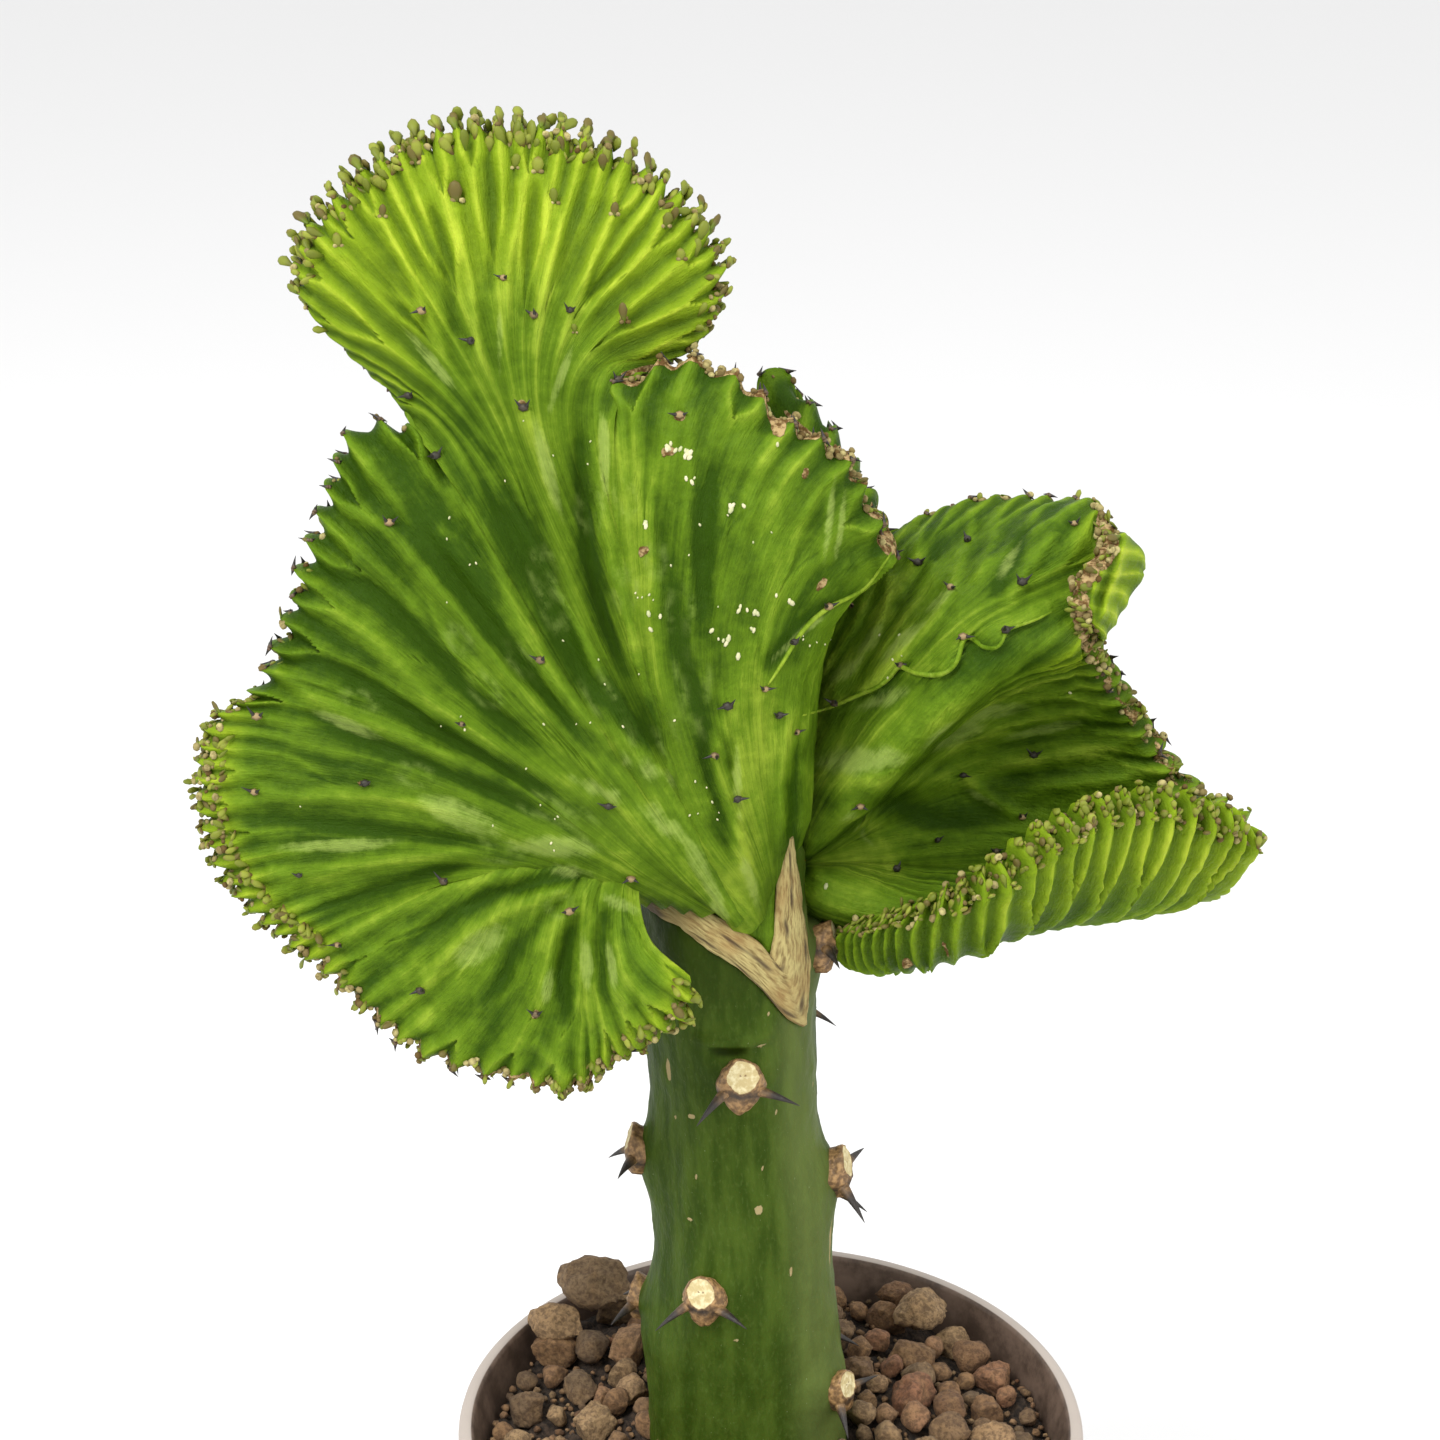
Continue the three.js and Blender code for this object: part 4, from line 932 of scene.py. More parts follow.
class Sheet:
    """A closed sheet of the crest between two ribs, and the tables of its two faces for later work."""

    def __init__(self, name, first, last, pitch, rows, crowding, edge_half, root_half):
        self.name = name
        self.rows = rows
        self.on_right = name == "crest_right_fan"
        self.lay_out(first, last, pitch, crowding)
        self.look = {key: values[:, None] for key, values in edge_looks(self.along).items()}
        self.thicken(edge_half, root_half)
        self.raise_ridges()
        self.faces = {side: self.face(side) for side in (1, -1)}
        self.mesh = self.closed_grid()

    def lay_out(self, first, last, pitch, crowding):
        """Columns and rows on the middle surface: their places, directions and distances from the edge."""
        self.start, self.end = np.interp([first, last], fine, edge_length)
        places = np.linspace(self.start, self.end, PACES)
        hidden = np.isin(np.interp(places, edge_length, fine).round(), HIDDEN_RIBS) & self.on_right
        count = np.cumsum(np.where(hidden, 0.5, 1)) * (self.end - self.start) / PACES / pitch
        columns = int(count[-1])
        self.along = np.interp(np.linspace(0, count[-1], columns), count, places)
        self.along[0] = self.start
        self.shares = 1 - (1 - np.linspace(0, 1, self.rows)) ** crowding
        lines = across_ribs(rib_lines, np.interp(self.along, edge_length, fine))
        self.middle = along_ribs(lines, self.shares)
        steps = np.linalg.norm(np.diff(self.middle, axis=1), axis=2)
        to_edge = np.cumsum(steps[:, ::-1], axis=1)[:, ::-1]
        self.inward = np.concatenate([to_edge, np.zeros((columns, 1))], axis=1)
        self.spread = soften(np.linalg.norm(np.gradient(self.middle, self.along, axis=0), axis=2), 12, 0)
        area = np.cross(np.gradient(self.middle, axis=0), np.gradient(self.middle, axis=1))
        self.normal = unit(soften(soften(area / np.linalg.norm(area, axis=2).mean(0)[:, None], 50, 0), 3, 1))
        self.outward = unit(np.gradient(self.middle, axis=1)[:, -1])

    def thicken(self, edge_half, root_half):
        """Half the thickness: round at the edge, thick at the graft, and none at the sides and the foot."""
        along, shares = self.along, self.shares
        slim = (ease(0, SIDE_TAPER, along - self.start) * ease(0, SIDE_TAPER, self.end - along))[:, None]
        rim = np.sqrt(1 - (1 - np.clip(self.inward / ROUND_EDGE, 0, 1)) ** 2)
        foot = ease(0, 0.14, shares)[None, :]
        blunt = np.sqrt(1 - (1 - np.clip(shares / 0.03, 0, 1)) ** 2)[None, :]
        slender = 0.1 + 0.9 * ease(15 * MM, 140 * MM, along)[:, None]
        half = edge_half + (root_half * slender - edge_half) * (1 - shares[None, :]) ** 1.8
        self.half = half * MM * rim * slim * blunt * (0.45 + 0.55 * foot)
        self.slim = slim
        self.closing = MM * slim * rim * blunt

    def raise_ridges(self):
        """The ridges of the tree, lower where the skin is old, and the fingers in which they end."""
        inward, look = self.inward, self.look
        share = np.zeros(inward.shape)
        width = np.zeros(inward.shape)
        for row in range(self.rows):
            aged = inward[:, row] * look["joining"][:, 0]
            gap, share[:, row] = tree.height(self.along, lambda at: np.interp(at, self.along, aged))
            width[:, row] = gap * self.spread[:, row] / MM
        depth = RIDGE_DEPTH * (1 - np.exp(-0.2 * width)) * ease(0.06, 0.32, self.shares)[None, :]
        self.worn = ease(0.15, 1, inward / np.clip(look["reach"] * 1.3, 16 * MM, 50 * MM))
        self.depth = depth * (1 - 0.78 * self.worn) * look["pleats"]
        self.raised = share ** (look["sharp"] + (2 - look["sharp"]) * ease(3 * MM, 20 * MM, inward))
        finger = np.exp(-((inward / FINGER_REACH) ** 2)) * np.clip(width / 3.3, 0.3, 1.6)
        finger = finger * (self.raised - 0.6) * MM * self.slim
        finger = finger * (1.6 + 2.2 * look["fresh"]) * np.clip(look["pleats"] * 1.3, 0, 1)
        self.base = self.middle + self.outward[:, None] * finger[..., None]

    def face(self, side):
        """The places and looks of one face, as tables of columns by rows."""
        shape = self.inward.shape
        inward, look, raised = self.inward, self.look, self.raised
        smooth_face = self.base + side * self.normal * self.half[..., None]
        flat = smooth_face.reshape(-1, 3)
        picture = picture_of(flat)
        towards_eye = unit(EYE - flat)
        facing = ease(0.05, 0.35, np.sum(side * self.normal.reshape(-1, 3) * towards_eye, axis=1))
        drawn, rule = drawn_relief(picture)
        right_fan = ease(775, 800, picture[:, 0]) if self.on_right else 0
        step, shade = (part * facing * right_fan for part in ledge_relief(picture))
        rule = (rule * facing).reshape(shape)
        wrinkles = waves(flat, 0.012, 3) * 0.25 + waves(flat, 0.004, 4, 2) * 0.1
        height = self.depth * raised * (1 - 0.65 * rule) * 1.1 + wrinkles.reshape(shape)
        forward = (drawn * facing + step).reshape(shape) * self.closing
        place = smooth_face + side * self.normal * (height * self.closing)[..., None]
        # crown goes into the ridge look, which paints ridge crests lighter and furrows darker: a painted
        # highlight and painted shade.
        crown = (0.4 + (raised - 0.4) * (1 - 0.6 * self.worn)) * (1 - 0.5 * rule)
        rim_shade = 0.4 * np.exp(-((inward / (3 * MM)) ** 2))
        return {
            "place": place + towards_eye.reshape(place.shape) * forward[..., None],
            "ridge": np.clip(crown + 0.4 * (drawn * facing).reshape(shape), -0.4, 1.2),
            "fresh": look["fresh"] * (1 - ease(0.25, 1, inward / look["reach"])),
            "dry": np.clip(look["dry"] * 1.7, 0, 1) * (1 - ease(0.3, 1, inward / (1.8 * MM))),
            # tone: the lighter and darker patches, the painted light and shade of the ledge, and painted
            # shade along the rim
            "tone": (tone_at(picture) * facing + shade).reshape(shape) - rim_shade,
            "ring": (rings_at(picture) * facing).reshape(shape),
            "pale": (spots(picture, PALE_PATCHES) * facing).reshape(shape),
            "scab": (spots(picture, SCABS) * facing).reshape(shape),
            "flow": np.stack([np.broadcast_to(self.along[:, None], shape), inward, inward * 0], axis=2),
            "normal": side * self.normal,
        }

    def closed_grid(self):
        """One grid, up the front face and down the back, that meets itself at the sides and the foot."""
        columns, last = len(self.along), self.rows - 1
        mesh, column, row = grid_mesh(self.name, columns, 2 * last + 1)
        front_row = np.clip(row, 0, last)
        back_row = np.clip(2 * last - row, 0, last)
        on_front = row <= last
        table = {}
        for key in ("place", *SKIN_LOOKS):
            one, other = self.faces[1][key][column, front_row], self.faces[-1][key][column, back_row]
            table[key] = np.where(on_front if one.ndim == 1 else on_front[:, None], one, other)
        move_to(mesh, table.pop("place"))
        write_looks(mesh, **table)
        print(self.name, "has", columns, "columns and", close_mesh(mesh), "odd edges")
        return mesh

# %% [markdown]
# The three sheets overlap by a rib or two. The numbers are their first and last rib, the pitch of their
# columns, their rows, how these crowd towards the edge, and half the thickness at the edge and at the graft
# in millimetres.

# %% The three sheets
SHEETS = [
    Sheet("crest_left_fan", 0, 20.3, 0.40 * MM, 76, 1.5, 2.3, 8.5),
    Sheet("crest_top_lobe", 18.9, 41, 0.42 * MM, 76, 1.5, 2.3, 8.5),
    Sheet("crest_right_fan", 39, 65, 0.50 * MM, 84, 1.25, 2.2, 4.8),
]

# %% [markdown]
# ## The crest: fingers, leaflets, spines and specks
#
# Every finger of a growing edge ends in a fleshy leaflet, a small paddle on a brownish base, and more of them
# sit behind it in two or three rows. On older parts the leaflets have dropped, and each tubercle keeps a pair
# of short dark spines. One small prototype is made for each kind. Copies of it are joined in one mesh, placed
# by the tables of the sheets or by casting a ray from the viewer through a point of the picture.

# %% Copies of a prototype
def prototype(build):
    """A small mesh that a function shapes in a bmesh."""
    bm = bmesh.new()
    build(bm)
    bmesh.ops.recalc_face_normals(bm, faces=bm.faces)
    return made_mesh("prototype", bm)


def stand(place, up, hint, size):
    """A matrix that stands a unit prototype at a place, its +Z along up and its +X near hint."""
    up = Vector(up).normalized()
    side = Vector(hint) - up * up.dot(Vector(hint))
    if side.length < 1e-6:
        side = up.orthogonal()
    side.normalize()
    turn = Matrix((side, up.cross(side), up)).transposed().to_4x4()
    return Matrix.Translation(Vector(place)) @ turn @ Matrix.Diagonal((*size, 1))


def copies(name, proto, matrices, seed):
    """One mesh of many copies, with each vertex's height in its prototype and a random number for each."""
    bm = bmesh.new()
    for _ in matrices:
        bm.from_mesh(proto)
    mesh = made_mesh(name, bm)
    local = places_of(proto)
    turns = np.array([np.array(m) for m in matrices])
    placed = np.einsum("nij,vj->nvi", turns[:, :3, :3], local) + turns[:, None, :3, 3]
    move_to(mesh, placed.reshape(-1, 3))
    lots = np.random.default_rng(seed).random(len(matrices))
    write_looks(mesh, tip=np.tile(local[:, 2], len(matrices)), lot=np.repeat(lots, len(local)))
    return mesh

# %% [markdown]
# Three prototypes are enough: a leaflet, a thorn, and a crumb that serves for dry scales, flecks and thorn
# feet. Each is one unit long, from its foot at the origin up +Z, and has a few dozen faces.

# %% Leaflet, thorn and crumb
def crumb_shape(bm):
    """A small ball."""
    bmesh.ops.create_uvsphere(bm, u_segments=6, v_segments=4, radius=0.5)
    bmesh.ops.translate(bm, verts=bm.verts, vec=(0, 0, 0.5))


def leaflet_shape(bm):
    """A paddle: a narrow foot, a wide rounded blade and a blunt tip, leaning forward a little."""
    bmesh.ops.create_uvsphere(bm, u_segments=7, v_segments=5, radius=0.5)
    for vert in bm.verts:
        z = vert.co.z + 0.5
        blade = 0.55 + 0.6 * float(ease(0.15, 0.75, z))
        vert.co.x *= blade
        vert.co.y *= blade * 0.75
        vert.co.y += 0.12 * z * z
        vert.co.z = z


def thorn_shape(bm):
    """A thorn: wide at its foot, thin from halfway and bent, closed at both ends."""
    bmesh.ops.create_cone(bm, cap_ends=True, segments=6, radius1=0.5, radius2=0.03, depth=1)
    tall = [edge for edge in bm.edges if abs(edge.verts[0].co.z - edge.verts[1].co.z) > 0.5]
    bmesh.ops.subdivide_edges(bm, edges=tall, cuts=2)
    for vert in bm.verts:
        z = vert.co.z + 0.5
        vert.co.xy *= 1 - 0.35 * z * (1 - z) * 2
        vert.co.y += 0.2 * z * z
        vert.co.z = z


leaflet, thorn, crumb = (prototype(shape) for shape in (leaflet_shape, thorn_shape, crumb_shape))

# %% [markdown]
# The growing edge first. Every twig of the ridge tree ends in a finger, so the tree says where leaflets go.

# %% Leaflets and teeth along the edge
# Sizes of leaflets in mm, those of the curled lip shorter, and of the thorns on old teeth
LEAFLET_WIDTH, LEAFLET_LENGTH = (1.25, 1.8), (2.4, 4.0)
LIP_SLIMNESS = 0.72
TOOTH_THORN, TOOTH_THORN_LENGTH = 0.9, (1.4, 2.4)
# Leaflets crowd less where the face turns away from the viewer.
CROWD_BEHIND = 0.45


def sheet_place(sheet, side, along, inward):
    """Place, normal, outward and sideways direction on a sheet's face, along and inward from the edge."""
    face = sheet.faces[side]
    columns = face["flow"][:, 0, 0]
    column = int(np.clip(np.searchsorted(columns, along), 1, len(columns) - 2))
    depths = face["flow"][column, :, 1]
    row = float(np.interp(-inward, -depths, np.arange(len(depths))))
    low = min(int(row), len(depths) - 2)
    track = face["place"][column]
    place = track[low] * (1 - row + low) + track[low + 1] * (row - low)
    ways = (track[-1] - track[-6], face["place"][column + 1, low] - face["place"][column - 1, low])
    outward, across = (way / np.linalg.norm(way) for way in ways)
    return place, face["normal"][column, low], outward, across


def sheet_at(along):
    """The sheet that has most of its thickness at a place along the edge."""
    return max(SHEETS, key=lambda sheet: min(along - sheet.along[0], sheet.along[-1] - along))


def add_leaflet(place, lean, across, size, slimness=1):
    width = rng.uniform(*LEAFLET_WIDTH) * size
    length = rng.uniform(*LEAFLET_LENGTH) * size * slimness
    leaflets.append(stand(place, lean, across, (width * MM, width * 0.7 * MM, length * MM)))


def add_crumb(place, lean, across, size):
    crumbs.append(stand(place, lean, across, (size * MM, size * 0.8 * MM, size * 0.8 * MM)))


def slimness_of(look):
    return LIP_SLIMNESS if look["joining"] < 0.5 else 1


def end_fingers(side):
    """A leaflet on the end of each finger, and thorns on the teeth of old edges."""
    for along in tree.twigs[(tree.twigs > 1.5 * MM) & (tree.twigs < edge_length[-1] - 1.5 * MM)]:
        look = edge_looks(along)
        place, normal, outward, across = sheet_place(sheet_at(along), side, along, rng.uniform(0.2, 1.2) * MM)
        if rng.random() < ease(0.15, 0.5, look["fresh"]):
            lean = outward * 1.2 + normal * rng.uniform(0.1, 0.7) + across * rng.uniform(-0.3, 0.3)
            size = look["size"] * rng.uniform(0.85, 1.15)
            add_leaflet(place - outward * 0.5 * MM, lean, across, size, slimness_of(look))
        elif rng.random() < 0.85:
            for turn in (-1, 1):
                lean = outward * 0.8 + normal * rng.uniform(0.1, 0.7) + across * turn * rng.uniform(0.3, 0.7)
                size = np.array([TOOTH_THORN, TOOTH_THORN, rng.uniform(*TOOTH_THORN_LENGTH)]) * MM
                thorns.append(stand(place - outward * 0.3 * MM, lean, across, size))


def crowd_edge(side):
    """Leaflets and dry scales crowded behind the fingers, counted for each millimetre of the edge."""
    for along in np.arange(2, edge_length[-1] / MM - 2) * MM:
        look = edge_looks(along)
        sheet = sheet_at(along)
        shown = 1 if sheet_place(sheet, side, along, 0)[1][1] < 0 else CROWD_BEHIND
        for _ in range(rng.poisson(look["leaflets"] * shown)):
            share = rng.random() ** 1.5
            at = along + rng.uniform(0, 1) * MM
            place, normal, outward, across = sheet_place(sheet, side, at, share * look["band"])
            lean = outward * (1.2 - 0.6 * share) + normal * (0.3 + 0.6 * share)
            lean = lean + across * rng.uniform(-0.5, 0.5)
            size = look["size"] * rng.uniform(0.6, 1.05)
            add_leaflet(place - normal * 0.25 * MM, lean, across, size, slimness_of(look))
        for _ in range(rng.poisson(0.15 * look["leaflets"] + 1.1 * look["dry"])):
            inward = (look["band"] * 0.6 + 0.4 * MM) * rng.random()
            at = along + rng.uniform(0, 1) * MM
            place, normal, outward, across = sheet_place(sheet, side, at, inward)
            lean = normal + outward * rng.uniform(0, 1.5)
            add_crumb(place - normal * 0.1 * MM, lean, across, rng.uniform(0.6, 1.7))


rng = np.random.default_rng(21)
leaflets, crumbs, thorns, feet, flecks = [], [], [], [], []
for side in (1, -1):
    end_fingers(side)
    crowd_edge(side)
print(len(leaflets), "leaflets,", len(crumbs), "scales and", len(thorns), "thorns along the edge")

# %% [markdown]
# Then the face of the fan. Each tubercle that the picture shows gets a pair of thorns with a tan foot, and
# more are strewn over the back, where ridges of the tree join.

# %% Thorns on the face and on the back
THORN_FOOT, THORN, THORN_LENGTH = (1.6, 1.2, 1.0), 0.8, (1.1, 2.0)


def skin_of(mesh):
    """A mesh made ready for rays."""
    faces = [tuple(face.vertices) for face in mesh.polygons]
    return BVHTree.FromPolygons([tuple(place) for place in places_of(mesh)], faces)


def seen(px, py):
    """The place and normal of the nearest sheet that shows at a point of the picture."""
    ray = Vector(sightline(px, py, 0)[0] - EYE).normalized()
    best = (None, None, math.inf)
    for skin in skins:
        place, normal, _, distance = skin.ray_cast(Vector(EYE), ray)
        if place is not None and distance < best[2]:
            best = (place, normal if normal.dot(ray) < 0 else -normal, distance)
    return best[:2]


def thorn_pair(place, normal, size):
    """Two short thorns on a dark foot."""
    level = Vector((0, 0, 1)).cross(normal)
    level = level.normalized() if level.length > 0.01 else Vector((1, 0, 0))
    feet.append(stand(place - normal * 0.3 * MM * size, normal, level, np.array(THORN_FOOT) * MM * size))
    for turn in (-1, 1):
        lean = normal * 0.6 + level * turn * rng.uniform(0.3, 0.9) + Vector((0, 0, rng.uniform(-0.3, 0.8)))
        foot = place + level * turn * 0.3 * MM + normal * 0.2 * MM
        sizes = np.array([THORN, THORN, rng.uniform(*THORN_LENGTH)]) * MM * size
        thorns.append(stand(foot, lean, level, sizes))


skins = [skin_of(sheet.mesh) for sheet in SHEETS]
for px, py in TUBERCLES:
    place, normal = seen(px, py)
    if place is not None:
        thorn_pair(place, normal, rng.uniform(0.8, 1.25))
for px, py, size in KNOBS:
    place, normal = seen(px, py)
    up = normal * 0.25 + Vector((rng.uniform(-0.2, 0.2), 0, 1))
    add_leaflet(place - Vector((0, 0, 1.2 * MM * size)), up, (1, 0, 0), size * 1.15)
    for turn in (-0.6, 0.6):
        add_crumb(place + Vector((turn * MM * size, 0, -0.4 * MM)), normal, (1, 0, 0), size)
for along, inward in tree.heads:
    place, normal, outward, across = sheet_place(sheet_at(along), -1, along, inward)
    thorn_pair(Vector(place), Vector(normal), rng.uniform(0.7, 1.1))

# %% [markdown]
# Flecks of lime lie on the shoulder in loose clusters. Those of wide clusters are small.

# %% Flecks
FLECK_SIZE, SMALL_FLECK_SIZE, FLECK_HEIGHT = (0.35, 0.9), (0.2, 0.4), 0.45
WIDE_CLUSTER = 10
for x, y, spread, count in FLECKS:
    for _ in range(count):
        place, normal = seen(x + rng.normal() * spread * 0.6, y + rng.normal() * spread * 0.6)
        if place is not None:
            size = rng.uniform(*(FLECK_SIZE if spread < WIDE_CLUSTER else SMALL_FLECK_SIZE))
            turned = (rng.uniform(-1, 1), 0, 1)
            sizes = (size * 1.7 * MM, size * MM, FLECK_HEIGHT * MM)
            flecks.append(stand(place - normal * 0.2 * MM, normal, turned, sizes))
print(len(leaflets), "leaflets,", len(crumbs), "scales,", len(thorns), "thorns and", len(flecks), "flecks")

# %% [markdown]
# Where one fold overhangs another, the skin turns over in a thin roll. Each roll is a tube along a line of
# the picture, and the points of that line are found on the sheets by rays. Its colour is painted lighter on
# its upper side and darker underneath, as painted light and shade.

# %% Rolls of skin
ROLL_SIDES = 10
ROLL_STEP = 2.5


def rolled_edge(name, line, radius):
    """A thin roll of skin along a line of the picture, with a radius in mm."""
    line = rounded(line)
    length = lengths_along(line)
    at = np.arange(0, length[-1], ROLL_STEP)
    points = np.stack([np.interp(at, length, line[:, k]) for k in (0, 1)], axis=1)
    hits = [seen(x, y) for x, y in points]
    kept = [k for k, (place, _) in enumerate(hits) if place is not None]
    track = soften(np.array([hits[k][0] for k in kept]), 4, 0)
    normal = soften(np.array([hits[k][1] for k in kept]), 30, 0)
    forward = unit(np.gradient(track, axis=0))
    sideways = unit(np.cross(normal, forward))
    upward = np.cross(forward, sideways)
    mesh, column, row = grid_mesh(name, len(track), ROLL_SIDES + 1)
    turn = turn_of(row, ROLL_SIDES)
    last = len(track) - 1
    taper = np.sin(math.pi * column / last) ** 0.35
    taper[(column == 0) | (column == last)] = 0
    around = np.cos(turn)[:, None] * sideways[column] * 1.3 + np.sin(turn)[:, None] * upward[column]
    move_to(mesh, track[column] + around * (taper * radius * MM)[:, None])
    # Painted light on the roll's upper side and painted shade under it, by the turn round its section
    tone = tone_at(points[kept])[column] + 0.35 * np.sin(turn)
    along = track[column] * (1, 1, 0)
    write_looks(mesh, ridge=0.55, fresh=0.1, dry=0, tone=tone, pale=0.3, ring=0, scab=0, flow=along)
    print(name, "has", close_mesh(mesh), "odd edges")
    return mesh


rolls = [rolled_edge("crest_ledge_roll", LEDGE, 0.38), rolled_edge("crest_fold_roll", FOLD_LINE, 0.35)]

# %% [markdown]
# ## The rootstock
#
# The stem is turned like a lathe piece round its slightly bent axis. It is a little five-sided and swells
# under each pair of spines. Above the V cut its wall steps inwards, where the callus and the scion cover it.
# The scion's wedge is the same stem, drawn with the other side of the cut, so the two meet as one thickness,
# as the grafter left them.

# %% The stem's form
# height, middle x, radius, in mm
STEM_STATIONS = np.array([
    [46, -3, 7], [60, -3, 13], [76, -3.4, 17], [92, -4, 18.2], [118, -4.9, 17.4],
    [140, -5, 15.9], [166, -6.6, 14.7], [188, -7.6, 14.9], [206, -8, 15.4], [228, -7.4, 14.8],
])
STEM_FOOT, STEM_TOP = 44, 223
# The stem's mean radius, then how far a spine cushion stands out and its reach sideways, up and down
STEM_MEAN = 15
CUSHION_RISE, CUSHION_WIDTH, CUSHION_ABOVE, CUSHION_BELOW = 2.4, 5.5, 5.5, 8.25
# Each spine cushion: height, turn about the stem in degrees (0 to the right, -90 to the viewer), size
SPINE_CUSHIONS = [
    (178.5, -85, 1), (136, -112, 0.95), (156.5, -178, 0.95), (153, -8, 1), (199, -18, 0.9), (123, 168, 0.9),
    (179, 40, 0.65), (143, 34, 0.85), (170, 128, 0.95), (127, 100, 0.95), (172, 80, 0.9), (146, 72, 0.9),
    (112, -30, 0.85), (109, 48, 0.85),
]
# How far a pad is twisted from upright, where it is much
PAD_TWISTS = {4: -0.6}
# The V cut seen from the front, as x and height: the edge of the stock, and where the scion begins
CUT_OUTER = [
    (2.4, 221.5), (3.9, 210), (5.3, 198), (4.7, 186), (1.5, 189.4), (-2.6, 195.6), (-6.8, 200.3),
    (-12.5, 204.4), (-16, 207), (-22.9, 207.8),
]
CUT_INNER = [
    (0.9, 222), (0.3, 214.1), (-0.1, 204.5), (-0.8, 200.2), (-2.6, 203.2), (-6.8, 206.8), (-11.5, 209.9),
    (-15.3, 212.7), (-22.9, 213.5),
]


def stem_axis(z):
    """The middle x and the radius of the stem at heights in mm."""
    after = np.clip(np.searchsorted(STEM_STATIONS[:, 0], z), 1, len(STEM_STATIONS) - 1)
    low, high = STEM_STATIONS[after - 1], STEM_STATIONS[after]
    t = ease(low[..., 0], high[..., 0], z)
    return low[..., 1] + (high[..., 1] - low[..., 1]) * t, low[..., 2] + (high[..., 2] - low[..., 2]) * t


def around_stem(turn, angle):
    """How far round the stem, in mm, angles lie from a turn in degrees."""
    across = math.radians(turn) - angle
    return np.arctan2(np.sin(across), np.cos(across)) * STEM_MEAN


def stem_radius(z, angle):
    """Radius in mm: a little five-sided, and swollen under each pair of spines."""
    radius = stem_axis(z)[1] + 0.35 * np.cos(5 * angle + z * 0.02)
    for height, turn, size in SPINE_CUSHIONS:
        around = around_stem(turn, angle) / CUSHION_WIDTH
        up = (z - height) / np.where(z < height, CUSHION_BELOW, CUSHION_ABOVE)
        radius = radius + CUSHION_RISE * size * np.exp(-0.9 * (around**2 + up**2))
    return radius


def stem_place(z, angle, radius):
    """Places in metres from heights, angles and radii in mm."""
    middle = stem_axis(z)[0]
    return np.stack([middle + radius * np.cos(angle), radius * np.sin(angle), z], axis=-1) * MM


def above_cut(x, z, line):
    """How far places in mm lie inside the V, above and left of one of its lines."""
    line = np.array(line)
    arm = np.interp(z, line[3::-1, 1], line[3::-1, 0]) - x
    slope = z - np.interp(x, line[:2:-1, 0], line[:2:-1, 1])
    return np.minimum(arm, slope * 0.8)

# %% [markdown]
# The skin bears a few marks: a raised brow over the front pad with a slit under it, and corky nicks and
# scabs. The slit is painted dark as shade, and one long thin nick along the brow is a painted highlight.

# %% Marks on the stem
# The right shoulder of the stock ends at this height, outside the arms of the V
SHOULDER = 201.5
# Brow, slit, nicks and scabs: turn in degrees, height, half width and half height in mm
BROW = (-88, 185.6, 6.5, 1.4)
SLIT = (-91, 184.0, 3.6, 0.9)
# The long thin nick at -70 degrees and 184.2 mm is a pale line along the brow's lower edge: a painted
# highlight.
NICKS = [
    (-140, 177, 0.8, 2.4), (-78, 152.5, 0.9, 0.9), (-126, 149, 1.3, 0.4), (-120, 170, 0.8, 0.3),
    (-136, 168, 0.4, 0.4), (-62, 171, 0.3, 0.8), (-118, 158, 0.3, 0.6), (-72, 160, 0.3, 0.5),
    (-110, 183, 0.4, 0.3), (-64, 190, 0.3, 0.5), (-70, 184.2, 2.4, 0.25), (-95, 128, 0.9, 0.4),
    (-58, 139, 0.4, 0.8), (-130, 133, 0.5, 0.5), (40, 160, 0.8, 1.4), (110, 150, 0.7, 1.0),
    (80, 190, 1.0, 0.5), (140, 140, 0.5, 1.2), (-18, 140, 0.8, 5.5), (-20, 172, 0.4, 0.7),
    (95, 120, 0.8, 0.6),
]


def on_stem(angle, z, marks):
    """How strongly places on the stem lie in any of the marks."""
    strongest = np.zeros(len(z))
    for turn, height, half_width, half_height in marks:
        away = np.hypot(around_stem(turn, angle) / half_width, (z - height) / half_height)
        strongest = np.maximum(strongest, 1 - ease(0.5, 1.3, away))
    return strongest

# %% [markdown]
# The stock and the wedge come from one function, once for each side of the cut.

# %% Stock and wedge
ROW_STEP = 0.9


